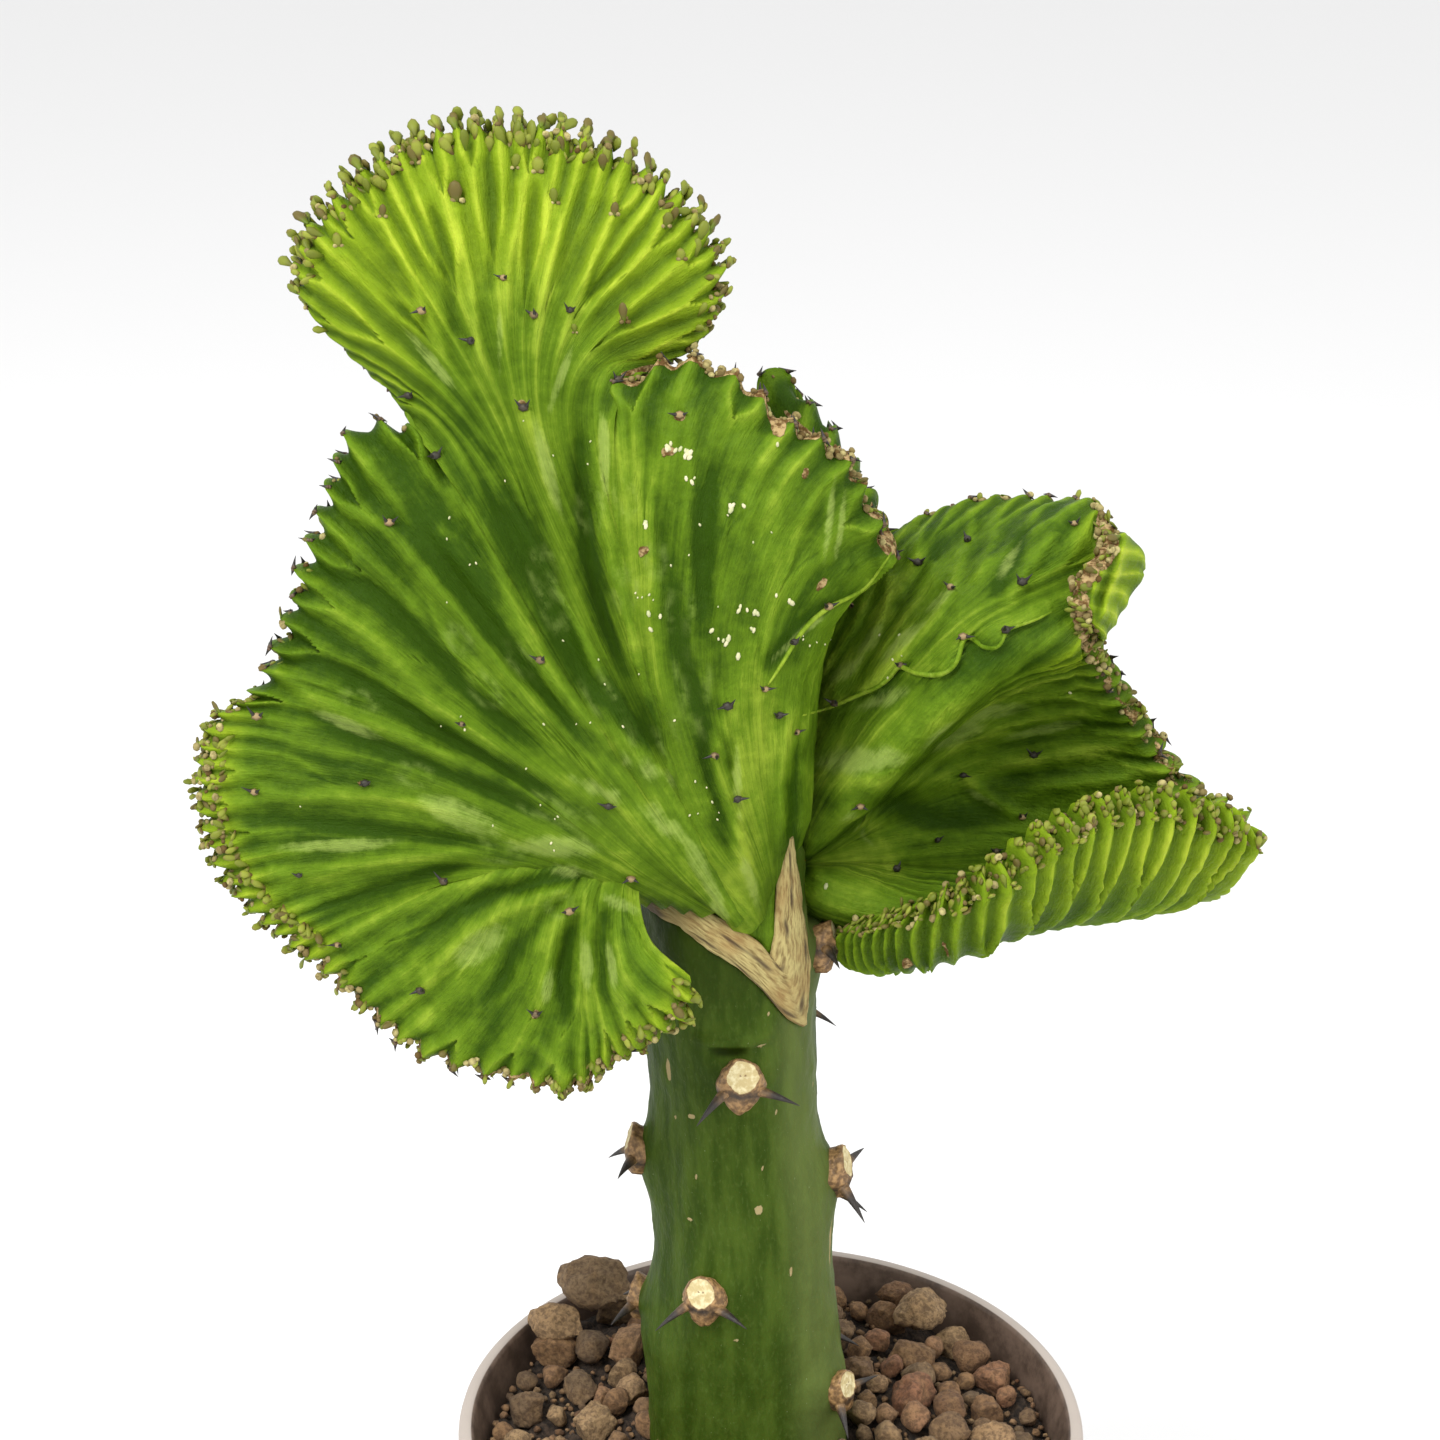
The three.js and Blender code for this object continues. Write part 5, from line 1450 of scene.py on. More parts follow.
def stem_piece(name, line, keep_inside, offset, foot, top, columns):
    """The stem on one side of the V cut. On the other side its wall steps inwards."""
    heights = np.concatenate([[foot], np.arange(foot, top, ROW_STEP), [top, top]])
    mesh, column, row = grid_mesh(name, columns + 1, len(heights))
    angle, z = turn_of(column, columns) - math.pi, heights[row]
    radius = stem_radius(z, angle) + offset
    inside = above_cut(stem_axis(z)[0] + radius * np.cos(angle), z, line)
    hidden = ease(-0.2, 1.4, -inside if keep_inside else inside)
    beyond = 0 if keep_inside else ease(0.85, 0.9, np.cos(angle)) * ease(SHOULDER, SHOULDER + 4, z)
    around = stem_place(z, angle, radius)
    brow, nick, slit = (on_stem(angle, z, marks) for marks in ([BROW], NICKS, [SLIT]))
    degrees = np.degrees(angle)
    # Lighter on the stem's right side: a painted sheen. Darker on the left front under the crest: a painted
    # shadow of the crest.
    right = ease(-78, -45, degrees) * (1 - ease(-20, 10, degrees))
    shade_under_crest = ease(183, 199, z) * (1 - ease(-70, -45, degrees))
    ripple = 0.16 * waves(around, 0.011, 31) + 0.05 * waves(around, 0.003, 32, 2)
    radius = radius + ripple + 1.0 * brow - 0.25 * nick - 0.5 * slit
    radius = radius * (1 - 0.35 * hidden) * (1 - 0.65 * beyond)
    radius = radius * (1 - 0.6 * ease(top - 6, top + 3, z)) * ease(foot - 3, foot + 6, z)
    radius = np.where((row == 0) | (row == row.max()), 0, radius)
    move_to(mesh, stem_place(z, angle, radius))
    # tone: painted sheen on the right, painted shade under the crest, in the slit and on the top under the
    # scion
    tone = 0.45 * right - 0.5 * shade_under_crest - slit - 0.7 * ease(206, 213, z)
    write_looks(mesh, nick=nick, tone=tone, flow=np.stack([angle * STEM_MEAN, z, brow], axis=1))
    print(name, "has", close_mesh(mesh), "odd edges")
    return mesh


stock = stem_piece("rootstock_stem", CUT_OUTER, False, 0, STEM_FOOT, STEM_TOP, 210)
wedge = stem_piece("scion_wedge", CUT_INNER, True, -0.1, 196, 227, 150)
for key in ("flow", "tone"):
    wedge.attributes.remove(wedge.attributes[key])
across = places_of(wedge)[:, [0, 2, 2]] * (1, 1, 0)
write_looks(wedge, flow=across, ridge=0.45, fresh=0.15, dry=0, tone=-0.1, pale=0.15, ring=0, scab=0)

# %% [markdown]
# ## The callus
#
# Where the cut healed, a dry corky lip stands proud of both plants. It runs round the V on the front, round
# the left limb of the stem and round the V at the back, and crosses over the top of the right shoulder: one
# closed ribbon. Its section is a low rounded ridge, and long cracks run along it.

# %% The ribbon round the graft
# The corners to which a line of the cut is worked out, before they are rounded
CUT_CORNERS = 46
# Steps of the ribbon along the front and over the shoulder, and round its section
CALLUS_STEPS, OVER_TOP, CALLUS_SECTION = 150, 16, 20
# Its left end, where it turns to the back, carries a painted shadow between these x in mm.
SHADOWED_END = (-20.5, -16)


def cut_track(line, count):
    """A line of the cut on the front of the stem, as places in metres and their outward directions."""
    at = np.linspace(0, len(line) - 1, CUT_CORNERS)
    line = rounded(np.array([np.interp(at, range(len(line)), part) for part in zip(*line)]).T, 2)
    length = lengths_along(line)
    x, z = (np.interp(np.linspace(0, length[-1], count), length, line[:, k]) for k in (0, 1))
    middle = stem_axis(z)[0]
    angle = np.full(count, -math.pi / 2)
    for _ in range(6):
        angle = -np.arccos(np.clip((x - middle) / stem_radius(z, angle), -1, 1))
    limb = ease(count * 0.9, count, np.arange(count))
    angle = angle * (1 - limb) - math.pi * limb
    outward = np.stack([np.cos(angle), np.sin(angle), np.zeros(count)], axis=1)
    return stem_place(z, angle, stem_radius(z, angle)), outward


def cut_loop(line):
    """A line of the cut all round: up the front, down the back and over the shoulder."""
    front, outward = cut_track(line, CALLUS_STEPS)
    back, back_outward = (part[::-1] * (1, -1, 1) for part in (front, outward))
    share = np.linspace(0, 1, OVER_TOP + 2)[1:-1, None]
    bridge = back[-1] * (1 - share) + front[0] * share
    upward = np.tile([0, 0, 1.0], (OVER_TOP, 1))
    places = np.concatenate([front, back[1:], bridge, front[:1]])
    return places, np.concatenate([outward, back_outward[1:], upward, outward[:1]])


def callus_ribbon():
    """The lip: a low rounded ridge with fibres and cracks, between the two lines of the cut."""
    (outer, outward), (inner, _) = cut_loop(CUT_OUTER), cut_loop(CUT_INNER)
    outward = soften(outward, 6, 0)
    outward[-1] = outward[0] = (outward[0] + outward[-1]) / 2
    outward = unit(outward)
    steps = len(outer) - 1
    mesh, column, row = grid_mesh("graft_callus_lip", steps + 1, CALLUS_SECTION + 1)
    column = column % steps
    turn = turn_of(row, CALLUS_SECTION)
    across = 0.5 + 0.56 * np.cos(turn)
    run = np.linalg.norm(np.roll(outer, -1, 0) - outer, axis=1).cumsum()[column]
    place = outer[column] * (1 - across[:, None]) + inner[column] * across[:, None]
    fibres = np.sin(across * 23 + 1.5 * np.sin(run / 0.004)) * 0.5
    fibres = fibres + np.sin(across * 41 + run / 0.003 + 2) * 0.3
    crack = np.maximum(0, np.sin(across * 9.5 + 1.2 * np.sin(run / 0.006) + 0.6)) ** 6
    rough = 0.16 * fibres - 0.35 * crack + 0.14 * waves(place, 0.004, 77)
    lift = 0.25 + 1.35 * np.sin(turn) + np.where(np.sin(turn) > 0.1, rough, 0)
    move_to(mesh, place + outward[column] * lift[:, None] * MM)
    # The front of the lip's left end gets a painted shadow, kept in the crack look.
    painted_shadow_end = (1 - ease(*SHADOWED_END, place[:, 0] / MM)) * (place[:, 1] < 0)
    crack = np.maximum(np.where(np.sin(turn) > 0, crack, 0.3), painted_shadow_end)
    write_looks(mesh, crack=crack, flow=np.stack([across * 6, run / MM, fibres], axis=1))
    print("graft_callus_lip has", close_mesh(mesh), "odd edges")
    return mesh


callus = callus_ribbon()

# %% [markdown]
# ## Spine pads
#
# Under each old leaf grows a horny shield, with two thorns at its shoulders. The leaf has dropped and left a
# round cream scar with a dark rim. The shield is a disc spun round its axis, pulled down to a point below,
# and the thorns are bent cones. All fourteen stand on the swellings of the stem.

# %% Shields and thorns
# Radius and height of rings from the rim of the shield to the middle of the scar, and whether it is scar
PAD_RINGS = [
    (0.0, -2.8, 0), (3.9, -2.8, 0), (4.1, -1.2, 0), (4.2, -0.2, 0), (4.0, 0.6, 0), (3.65, 1.2, 0),
    (3.3, 1.7, 0), (3.1, 2.0, 0), (2.9, 2.2, 0), (2.72, 2.3, 0.5), (2.5, 2.22, 1), (2.2, 2.2, 1),
    (1.8, 2.26, 1), (1.4, 2.32, 1), (1.0, 2.36, 1), (0.5, 2.4, 1), (0.0, 2.4, 1),
]
PAD_SEGMENTS = 48
PAD_TILT = -16
THORN_SEGMENTS, THORN_ROWS = 12, 15
THORN_RADIUS, PAD_THORN_LENGTH = 1.25, 8.2
# Which way the two thorns point, and the pores in the scar, both as seen from outside
THORN_WAYS = ((-0.66, -0.56, 0.5), (0.92, -0.14, 0.4))
PORES = ((-0.5, 1.9), (0.4, 1.95), (0, 1.4))


def pad_mesh(size, seed):
    """One shield with its scar, in its own frame: X round the stem, Y up, Z outward."""
    rings = np.array(PAD_RINGS)
    mesh, column, row = grid_mesh("pad", PAD_SEGMENTS + 1, len(rings))
    turn = turn_of(column, PAD_SEGMENTS)
    radius, height, scar = rings[row].T
    x, y = radius * np.cos(turn), radius * np.sin(turn)
    rough = waves(np.stack([x, y, height], 1), 2.4, seed) * (1 - scar) * 0.16
    rim = waves(np.stack([np.cos(turn), np.sin(turn), scar * 0], 1), 1.1, seed + 1) * 0.045
    below = np.clip(-y / 4, 0, 1) * (1 - scar)
    x = x * (1 + rim) * (1 - 0.16 * below)
    y = y * (1 + rim) * (1 + 0.25 * below) + 1.7 * ease(0, 2.4, height)
    shoulders = np.exp(-((np.abs(x) - 3.0) ** 2 + (y + 0.9) ** 2) / 1.6) * 0.7 * (1 - scar)
    pores = sum(np.exp(-((x - dx) ** 2 + (y - dy) ** 2) / 0.07) for dx, dy in PORES)
    place = np.stack([x, y, height + rough + shoulders - 0.12 * pores * scar], axis=1) * size * MM
    move_to(mesh, place)
    dark = np.exp(-(((y + 1.7) / 0.9) ** 2)) * (1 - scar) * 0.9
    write_looks(mesh, scar=scar, tone=np.clip(pores * scar + dark, 0, 1))
    close_mesh(mesh)
    return mesh


def long_thorn(size, toward):
    """A tapering, slightly hooked thorn along a direction, in the shield's frame."""
    mesh, column, row = grid_mesh("thorn", THORN_SEGMENTS + 1, THORN_ROWS)
    share = np.clip((row - 1) / (THORN_ROWS - 3), 0, 1)
    thick = THORN_RADIUS * (1 - share) ** 0.95 + 0.05
    thick = np.where((row == 0) | (row == THORN_ROWS - 1), 0, thick)
    turn = turn_of(column, THORN_SEGMENTS)
    up = Vector(toward).normalized()
    side = up.cross(Vector((0, 1, 0))).normalized()
    other = up.cross(side)
    offset = np.outer(thick * np.cos(turn), side) + np.outer(thick * 0.8 * np.sin(turn), other)
    root = np.array([2.3 * np.sign(toward[0]), -0.9, 0.4])
    track = root + np.outer(share * PAD_THORN_LENGTH, up) + np.outer(share**2, (0, -0.9, -0.5))
    move_to(mesh, (track + offset) * size * MM)
    write_looks(mesh, scar=0, tone=ease(0.0, 0.5, share))
    close_mesh(mesh)
    return mesh


bm = bmesh.new()
for number, (height, turn, size) in enumerate(SPINE_CUSHIONS):
    angle = math.radians(turn)
    outward = Vector((math.cos(angle), math.sin(angle), 0))
    seat = Vector(stem_place(np.array(height), angle, stem_radius(np.array(height), angle)))
    turned = Matrix(((-math.sin(angle), math.cos(angle), 0), (0, 0, 1), outward)).transposed().to_4x4()
    tumble = Matrix.Rotation(PAD_TWISTS.get(number, rng.uniform(-0.16, 0.16)), 4, "Z")
    matrix = Matrix.Translation(seat) @ turned @ tumble @ Matrix.Rotation(math.radians(PAD_TILT), 4, "X")
    for part in (pad_mesh(size, 40 + number), *(long_thorn(size, way) for way in THORN_WAYS)):
        part.transform(matrix)
        bm.from_mesh(part)
spines = made_mesh("spine_pairs", bm)
print(len(SPINE_CUSHIONS), "shields with their thorns")

# %% [markdown]
# ## Pot, soil and stones
#
# The pot is moulded in one piece: a thin tapered wall with a plain rim band and a flat base with four holes.
# Its profile is spun, and the two faces of the base are filled between the outer circle and the holes.

# %% Pot
# Radius and height in mm, from the foot up the outside, over the rim and down the inside
POT_PROFILE = [
    (40, 0), (40.6, 0.25), (41.1, 1), (54.13, 86.6), (54.3, 87), (56.5, 87.5), (56.9, 88), (57.45, 98.6),
    (57.2, 99.5), (56.5, 100), (55.4, 100), (54.8, 99.7), (54.5, 99), (52.3, 90), (51.73, 87), (39.05, 3.6),
    (38.6, 3),
]
POT_SEGMENTS = 160
HOLE_RADIUS, HOLE_CIRCLE, HOLE_SEGMENTS = 5, 24, 32
# The wall's inner face lies inside this radius at the foot, which widens by this much upwards.
INSIDE_RADIUS, WALL_SLOPE = 37.6, 0.1745


def ring(bm, radius, height, segments, centre=(0, 0)):
    """A closed loop of edges."""
    turns = [2 * math.pi * k / segments for k in range(segments)]
    at = [(centre[0] + radius * math.cos(a), centre[1] + radius * math.sin(a), height) for a in turns]
    verts = [bm.verts.new([v * MM for v in place]) for place in at]
    return verts, [bm.edges.new((verts[k - 1], verts[k])) for k in range(segments)]


bm = bmesh.new()
holes = []
for radius, height in (POT_PROFILE[0], POT_PROFILE[-1]):
    rims = [ring(bm, radius, height, POT_SEGMENTS)]
    for quarter in range(4):
        turn = math.pi / 4 + quarter * math.pi / 2
        centre = (HOLE_CIRCLE * math.cos(turn), HOLE_CIRCLE * math.sin(turn))
        rims.append(ring(bm, HOLE_RADIUS, height, HOLE_SEGMENTS, centre))
    bmesh.ops.triangle_fill(bm, use_beauty=True, edges=[edge for _, edges in rims for edge in edges])
    holes.append([verts for verts, _ in rims[1:]])
for low, high in zip(*holes):
    for k in range(HOLE_SEGMENTS):
        bm.faces.new((low[k - 1], low[k], high[k], high[k - 1]))
profile = [bm.verts.new((radius * MM, 0, height * MM)) for radius, height in POT_PROFILE]
line = [bm.edges.new(pair) for pair in zip(profile, profile[1:])]
bmesh.ops.spin(
    bm, geom=profile + line, cent=(0, 0, 0), axis=(0, 0, 1), angle=2 * math.pi,
    steps=POT_SEGMENTS, use_merge=True,
)
pot_mesh = made_mesh("nursery_pot", bm)
print("nursery_pot has", close_mesh(pot_mesh, 2e-6), "odd edges")
x, y, z = (places_of(pot_mesh) / MM).T
# inside marks the inner wall, whose colour is painted dark as shade
write_attribute(pot_mesh, "inside", (np.hypot(x, y) < INSIDE_RADIUS + z * WALL_SLOPE).astype(float))

# %% [markdown]
# The soil fills the pot to just under the rim, higher round the stem and heaped at the back on the left.

# %% Soil
def soil_height(x, y):
    """Height of the soil in mm."""
    mound = 4.5 * (1 - ease(22, 50, np.hypot(x, y)))
    heap = 4.5 * np.exp(-(((x + 32) ** 2 + (y - 31) ** 2) / 225))
    return 92.5 + mound + heap + 0.7 * np.sin(0.21 * x + 1) * np.cos(0.24 * y)


SOIL_EDGE, SOIL_FOOT, SOIL_SEGMENTS = 51.8, (38.3, 3.4), 180
soil_surface = [(radius, 92.5) for radius in np.linspace(SOIL_EDGE, 0, 70)]
soil_rings = [(0, SOIL_FOOT[1]), SOIL_FOOT, (SOIL_EDGE - 0.8, 91)] + soil_surface
soil_mesh, column, row = grid_mesh("potting_soil", SOIL_SEGMENTS + 1, len(soil_rings))
turn = turn_of(column, SOIL_SEGMENTS)
radius, height = np.array(soil_rings, float)[row].T
x, y = radius * np.cos(turn), radius * np.sin(turn)
flat = np.stack([x, y, height], axis=1) * MM
crumbly = 0.8 * waves(flat, 0.006, 51, 3) + 0.35 * waves(flat, 0.0022, 52, 2)
top = np.where(row > 2, soil_height(x, y) + crumbly - 0.8, height)
move_to(soil_mesh, np.stack([x, y, top], axis=1) * MM)
print("potting_soil has", close_mesh(soil_mesh), "odd edges")

# %% [markdown]
# Lava stones cover the soil. The large ones keep the place and the size that the frame gives them: each
# starts as a ball about its middle and is drawn in to the frame's stone by rays. Then its faces are flattened
# and pitted, since crushed lava has flat sides, blunt corners and pores. Medium stones and grit fill what
# lies between.

# %% Large stones
LARGE_STONES = range(1, 34)
# Each stone takes its colour from a number that steps round by the golden ratio.
LOT_STEP = 0.618


def craggy(places, middle, seed, size):
    """Moves the places of a ball so that it turns into a crushed stone: flats, lumps and pores."""
    stone_rng = np.random.default_rng(seed)
    offset = places - middle
    away = np.linalg.norm(offset, axis=1)
    direction = offset / away[:, None]
    for _ in range(10):
        face = stone_rng.normal(size=3)
        face /= np.linalg.norm(face)
        limit = size * stone_rng.uniform(0.55, 0.88)
        reach = offset @ face
        over = np.clip(reach - limit, 0, None)
        offset = offset - over[:, None] * face * 0.97
    lumps = 0.04 * waves(offset, size * 0.9, seed, 2) + 0.028 * waves(offset, size * 0.3, seed + 1, 2)
    pores = np.clip(waves(offset, size * 0.24, seed + 2, 1) - 0.5, 0, 1) * 0.12
    return middle + offset + direction * (size * (lumps - pores))[:, None]


def ball_mesh(name, subdivisions, radius):
    """A ball of even triangles."""
    bm = bmesh.new()
    bmesh.ops.create_icosphere(bm, subdivisions=subdivisions, radius=radius)
    return made_mesh(name, bm)


bm = bmesh.new()
lots, large = [], []
for number in LARGE_STONES:
    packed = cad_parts[f"stone_{number}"].data
    corners = places_of(packed)
    low, high = corners.min(0), corners.max(0)
    middle = (low + high) / 2
    ball, packed_skin = ball_mesh("stone", 4, 1), skin_of(packed)
    rays = places_of(ball)
    hits = [packed_skin.ray_cast(Vector(middle), Vector(ray))[0] or Vector(middle) for ray in rays]
    size = float(np.mean([np.linalg.norm(np.array(hit) - middle) for hit in hits]))
    move_to(ball, craggy(np.array([list(hit) for hit in hits]), middle, 300 + number, size))
    bm.from_mesh(ball)
    lots += [number * LOT_STEP % 1] * len(rays)
    low, high = low / MM, high / MM
    large.append(((low[0] + high[0]) / 2, (low[1] + high[1]) / 2, (high[0] - low[0] + high[1] - low[1]) / 2))
stones_mesh = made_mesh("lava_stones", bm)
write_attribute(stones_mesh, "lot", np.array(lots))
print(len(large), "large stones, the smallest", round(min(size for _, _, size in large), 1), "mm wide")

# %% [markdown]
# Medium stones and grit are strewn at random in the room that larger ones leave. Four stones are laid one by
# one: they lean against the rim behind the stem. Each size has a few prototypes, so that no shape is seen
# twice side by side.

# %% Medium stones and grit
# Stones and grit may overlap a little. In mm, they keep clear of the stem and of the pot's wall.
STONE_GAP = 0.72
STEM_CLEARANCE, WALL_CLEARANCE = 17.5, 52.8
PILED = [(-33, 33.5, 17), (-40.5, 26.5, 12.5), (30, 35, 12.5), (25.5, 42.5, 9)]


def stone_prototype(seed, subdivisions):
    """A stone one unit long."""
    mesh = ball_mesh("grit", subdivisions, 0.5)
    move_to(mesh, craggy(places_of(mesh) * (1, 0.8, 0.7), np.zeros(3), seed, 0.42))
    return mesh


def strewn(count, smallest, largest, seed, taken):
    """Random places for stones on the soil, clear of those taken: x, y and size in mm."""
    strew = np.random.default_rng(seed)
    found = []
    for _ in range(count * 60):
        size = strew.uniform(smallest, largest)
        turn = strew.uniform(0, 2 * math.pi)
        away = math.sqrt(strew.uniform(STEM_CLEARANCE**2, (WALL_CLEARANCE - size / 2) ** 2))
        x, y = away * math.cos(turn) - 3 * (1 - away / 50), away * math.sin(turn)
        if all(math.hypot(x - a, y - b) > STONE_GAP * (size + c) / 2 for a, b, c in taken + found):
            found.append((x, y, size))
        if len(found) == count:
            break
    return found


def stone_matrices(found, seed, sink):
    """Stands stones on the soil, tumbled at random. Their middles are sink times their size above it."""
    turns = np.random.default_rng(seed)
    made = []
    for x, y, size in found:
        z = float(soil_height(x, y)) + size * sink
        tumble = Matrix.Rotation(turns.uniform(0, 6.3), 4, "Z")
        tumble = tumble @ Matrix.Rotation(turns.uniform(-0.7, 0.7), 4, "X")
        made.append(Matrix.Translation(Vector((x, y, z)) * MM) @ tumble @ Matrix.Scale(size * MM, 4))
    return made


def stone_meshes(name, found, count, seeds, subdivisions, sink):
    """Stones in as many meshes as there are prototypes. The seeds are for shapes, tumbling and colours."""
    shape, tumble, lot = seeds
    made = []
    for k in range(count):
        matrices = stone_matrices(found[k::count], tumble + k, sink)
        made.append(copies(f"{name}_{k}", stone_prototype(shape + k, subdivisions), matrices, lot + k))
    return made


medium = strewn(130, 4.5, 9.5, 61, large + PILED)
grit = strewn(700, 1.2, 3.0, 62, large + PILED + medium)
small_stones = stone_meshes("stones_medium", medium, 6, (400, 70, 80), 3, 0.3)
small_stones += stone_meshes("stones_piled", PILED, 1, (440, 79, 89), 4, 0.52)
small_stones += stone_meshes("stones_grit", grit, 5, (450, 75, 90), 1, 0.2)
print(len(medium), "medium stones and", len(grit), "grains of grit")

# %% [markdown]
# ## The finish of the crest
#
# Young tissue is a bright, almost translucent yellow-green, older tissue a deep matt green. Its colour is
# painted lighter on the ridge crests and darker in the furrows, as a painted highlight and painted shade. The
# pale patches
# are scuffed wax: they lie in strokes along the ribs, so their edges are broken up by noise that is stretched
# along the flow. Dry crusts are tan with brown rims.

# %% Crest material
def crest_finish():
    f = Finish("crest_skin")
    ridge, fresh, dry, tone = (f.attribute(name) for name in ("ridge", "fresh", "dry", "tone"))
    pale, scab, ring = (f.attribute(name) for name in ("pale", "scab", "ring"))
    flow = f.attribute("flow", out="Vector")
    streaks = f.noise(1, 4, f.stretched(flow, (1500, 70, 1)))
    broad = f.noise(1, 3, f.stretched(flow, (380, 36, 1)))
    cloud = f.noise(75, 4, distortion=0.6)
    mottle = f.noise(420, 4, roughness=0.65)

    # lit holds tone, with its painted light and shade, and mottling. With ridge it makes crests lighter and
    # furrows darker: a painted highlight and painted shade.
    lit = tone + (broad - 0.5) * 0.9 + (streaks - 0.5) * 0.45 + (cloud - 0.5) * 1.1 + (mottle - 0.5) * 0.7
    old = f.mix((ridge + lit).step(-0.15, 0.75), (0.026, 0.062, 0.002), (0.105, 0.19, 0.008))
    old = f.mix((ridge + lit * 1.2).step(0.55, 1.5), old, (0.27, 0.37, 0.030))
    young = f.mix((ridge + lit * 0.6).step(-0.05, 0.8), (0.072, 0.128, 0.006), (0.19, 0.285, 0.010))
    young = f.mix((ridge + lit * 0.6).step(0.65, 1.25), young, (0.39, 0.48, 0.035))
    green = f.mix((fresh + (streaks - 0.5) * 0.3).step(0.05, 0.85), old, young)
    broken = pale + (cloud - 0.5) * 1.6 + (mottle - 0.5) * 1.2 + (streaks - 0.5) * 0.8
    stroke = broken.step(0.25, 1.15) * pale.step(0, 0.5)
    green = f.mix(stroke * 0.5, green, (0.33, 0.42, 0.10))
    green = f.mix(ring * mottle.step(0.35, 0.6) * 0.3, green, (0.24, 0.33, 0.07))
    crust = (scab + dry * 0.7 + (mottle - 0.5) * 1.4).step(0.5, 0.62)
    tan = f.mix(f.noise(900, 3).step(0.4, 0.62), (0.12, 0.065, 0.022), (0.42, 0.30, 0.14))
    colour = f.mix(crust, green, tan)
    grain = f.noise(1, 3, f.stretched(flow, (2600, 700, 1)))
    bumps = f.bump(grain + streaks * 0.5 + mottle * 1.2 + crust * 1.2, 0.0005, 0.7)
    return f.surface(
        Base_Color=colour, Roughness=0.48 + crust * 0.35 + (cloud - 0.5) * 0.3, Normal=bumps,
        Specular_IOR_Level=0.06, Subsurface_Weight=0.1, Subsurface_Radius=(0.6, 1.0, 0.2),
        Subsurface_Scale=0.0015,
    )


crest_skin = crest_finish()
for sheet in SHEETS:
    finish_piece(sheet.name, sheet.mesh, crest_skin, ["crest"])
for mesh in rolls:
    finish_piece(mesh.name, mesh, crest_skin)

# %% [markdown]
# The small parts differ from one to the next by the random number of each copy, `lot`, and from foot to tip
# by its height, `tip`. Leaflets are yellow-green on a darker foot, some of them dried, and thorns go from tan
# to black.

# %% Leaflets, scales, flecks and thorns
def leaflet_finish():
    f = Finish("leaflets")
    tip, lot = f.attribute("tip"), f.attribute("lot")
    foot = f.mix(lot.step(0.2, 0.9), (0.10, 0.15, 0.006), (0.11, 0.065, 0.018))
    blade = f.mix(lot, (0.085, 0.110, 0.006), (0.25, 0.28, 0.034))
    blade = f.mix(lot.step(0.24, 0.2) * 0.7, blade, (0.12, 0.075, 0.025))
    colour = f.mix(tip.step(0.15, 0.55), foot, blade)
    colour = f.mix(tip.step(0.8, 1.0) * lot.step(0.5, 0.6) * 0.7, colour, (0.15, 0.095, 0.03))
    return f.surface(Base_Color=colour, Roughness=0.55, Specular_IOR_Level=0.25)


def scale_finish():
    f = Finish("dry_scales")
    lot = f.attribute("lot")
    colour = f.mix(lot, (0.10, 0.060, 0.018), (0.46, 0.40, 0.17))
    colour = f.mix(f.noise(1500, 2).step(0.4, 0.7) * 0.5, colour, (0.07, 0.042, 0.014))
    return f.surface(Base_Color=colour, Roughness=0.8, Specular_IOR_Level=0.08)


def fleck_finish():
    f = Finish("pale_flecks")
    colour = f.mix(f.attribute("lot"), (0.42, 0.45, 0.22), (0.66, 0.60, 0.38))
    return f.surface(Base_Color=colour, Roughness=0.7)


def thorn_finish():
    f = Finish("thorns")
    colour = f.mix(f.attribute("tip").step(0.0, 0.35), (0.10, 0.06, 0.028), (0.012, 0.009, 0.007))
    return f.surface(Base_Color=colour, Roughness=0.5)


def foot_finish():
    f = Finish("thorn_feet")
    lot, tip = f.attribute("lot"), f.attribute("tip")
    colour = f.mix(lot.step(0.3, 0.7), (0.022, 0.018, 0.010), (0.15, 0.095, 0.038))
    colour = f.mix(tip.step(0.6, 0.95) * lot.step(0.45, 0.6) * 0.7, colour, (0.34, 0.24, 0.11))
    return f.surface(Base_Color=colour, Roughness=0.6)


SMALL_PARTS = [
    ("crest_leaflets", leaflet, leaflets, 1, leaflet_finish),
    ("crest_scales", crumb, crumbs, 2, scale_finish),
    ("crest_flecks", crumb, flecks, 4, fleck_finish),
    ("crest_thorns", thorn, thorns, 3, thorn_finish),
    ("crest_thorn_feet", crumb, feet, 5, foot_finish),
]
for name, proto, matrices, seed, finish in SMALL_PARTS:
    finish_piece(name, copies(name, proto, matrices, seed), finish())

# %% [markdown]
# ## The other finishes
#
# The stem's skin is bluish-green under a thin wax bloom, mottled up and down, with pale corky nicks, and it
# is painted lighter on the right as sheen and darker under the crest as shade. The callus is dry and fibrous,
# with a painted shadow at its left end. The shields are dark horn with cream scars.

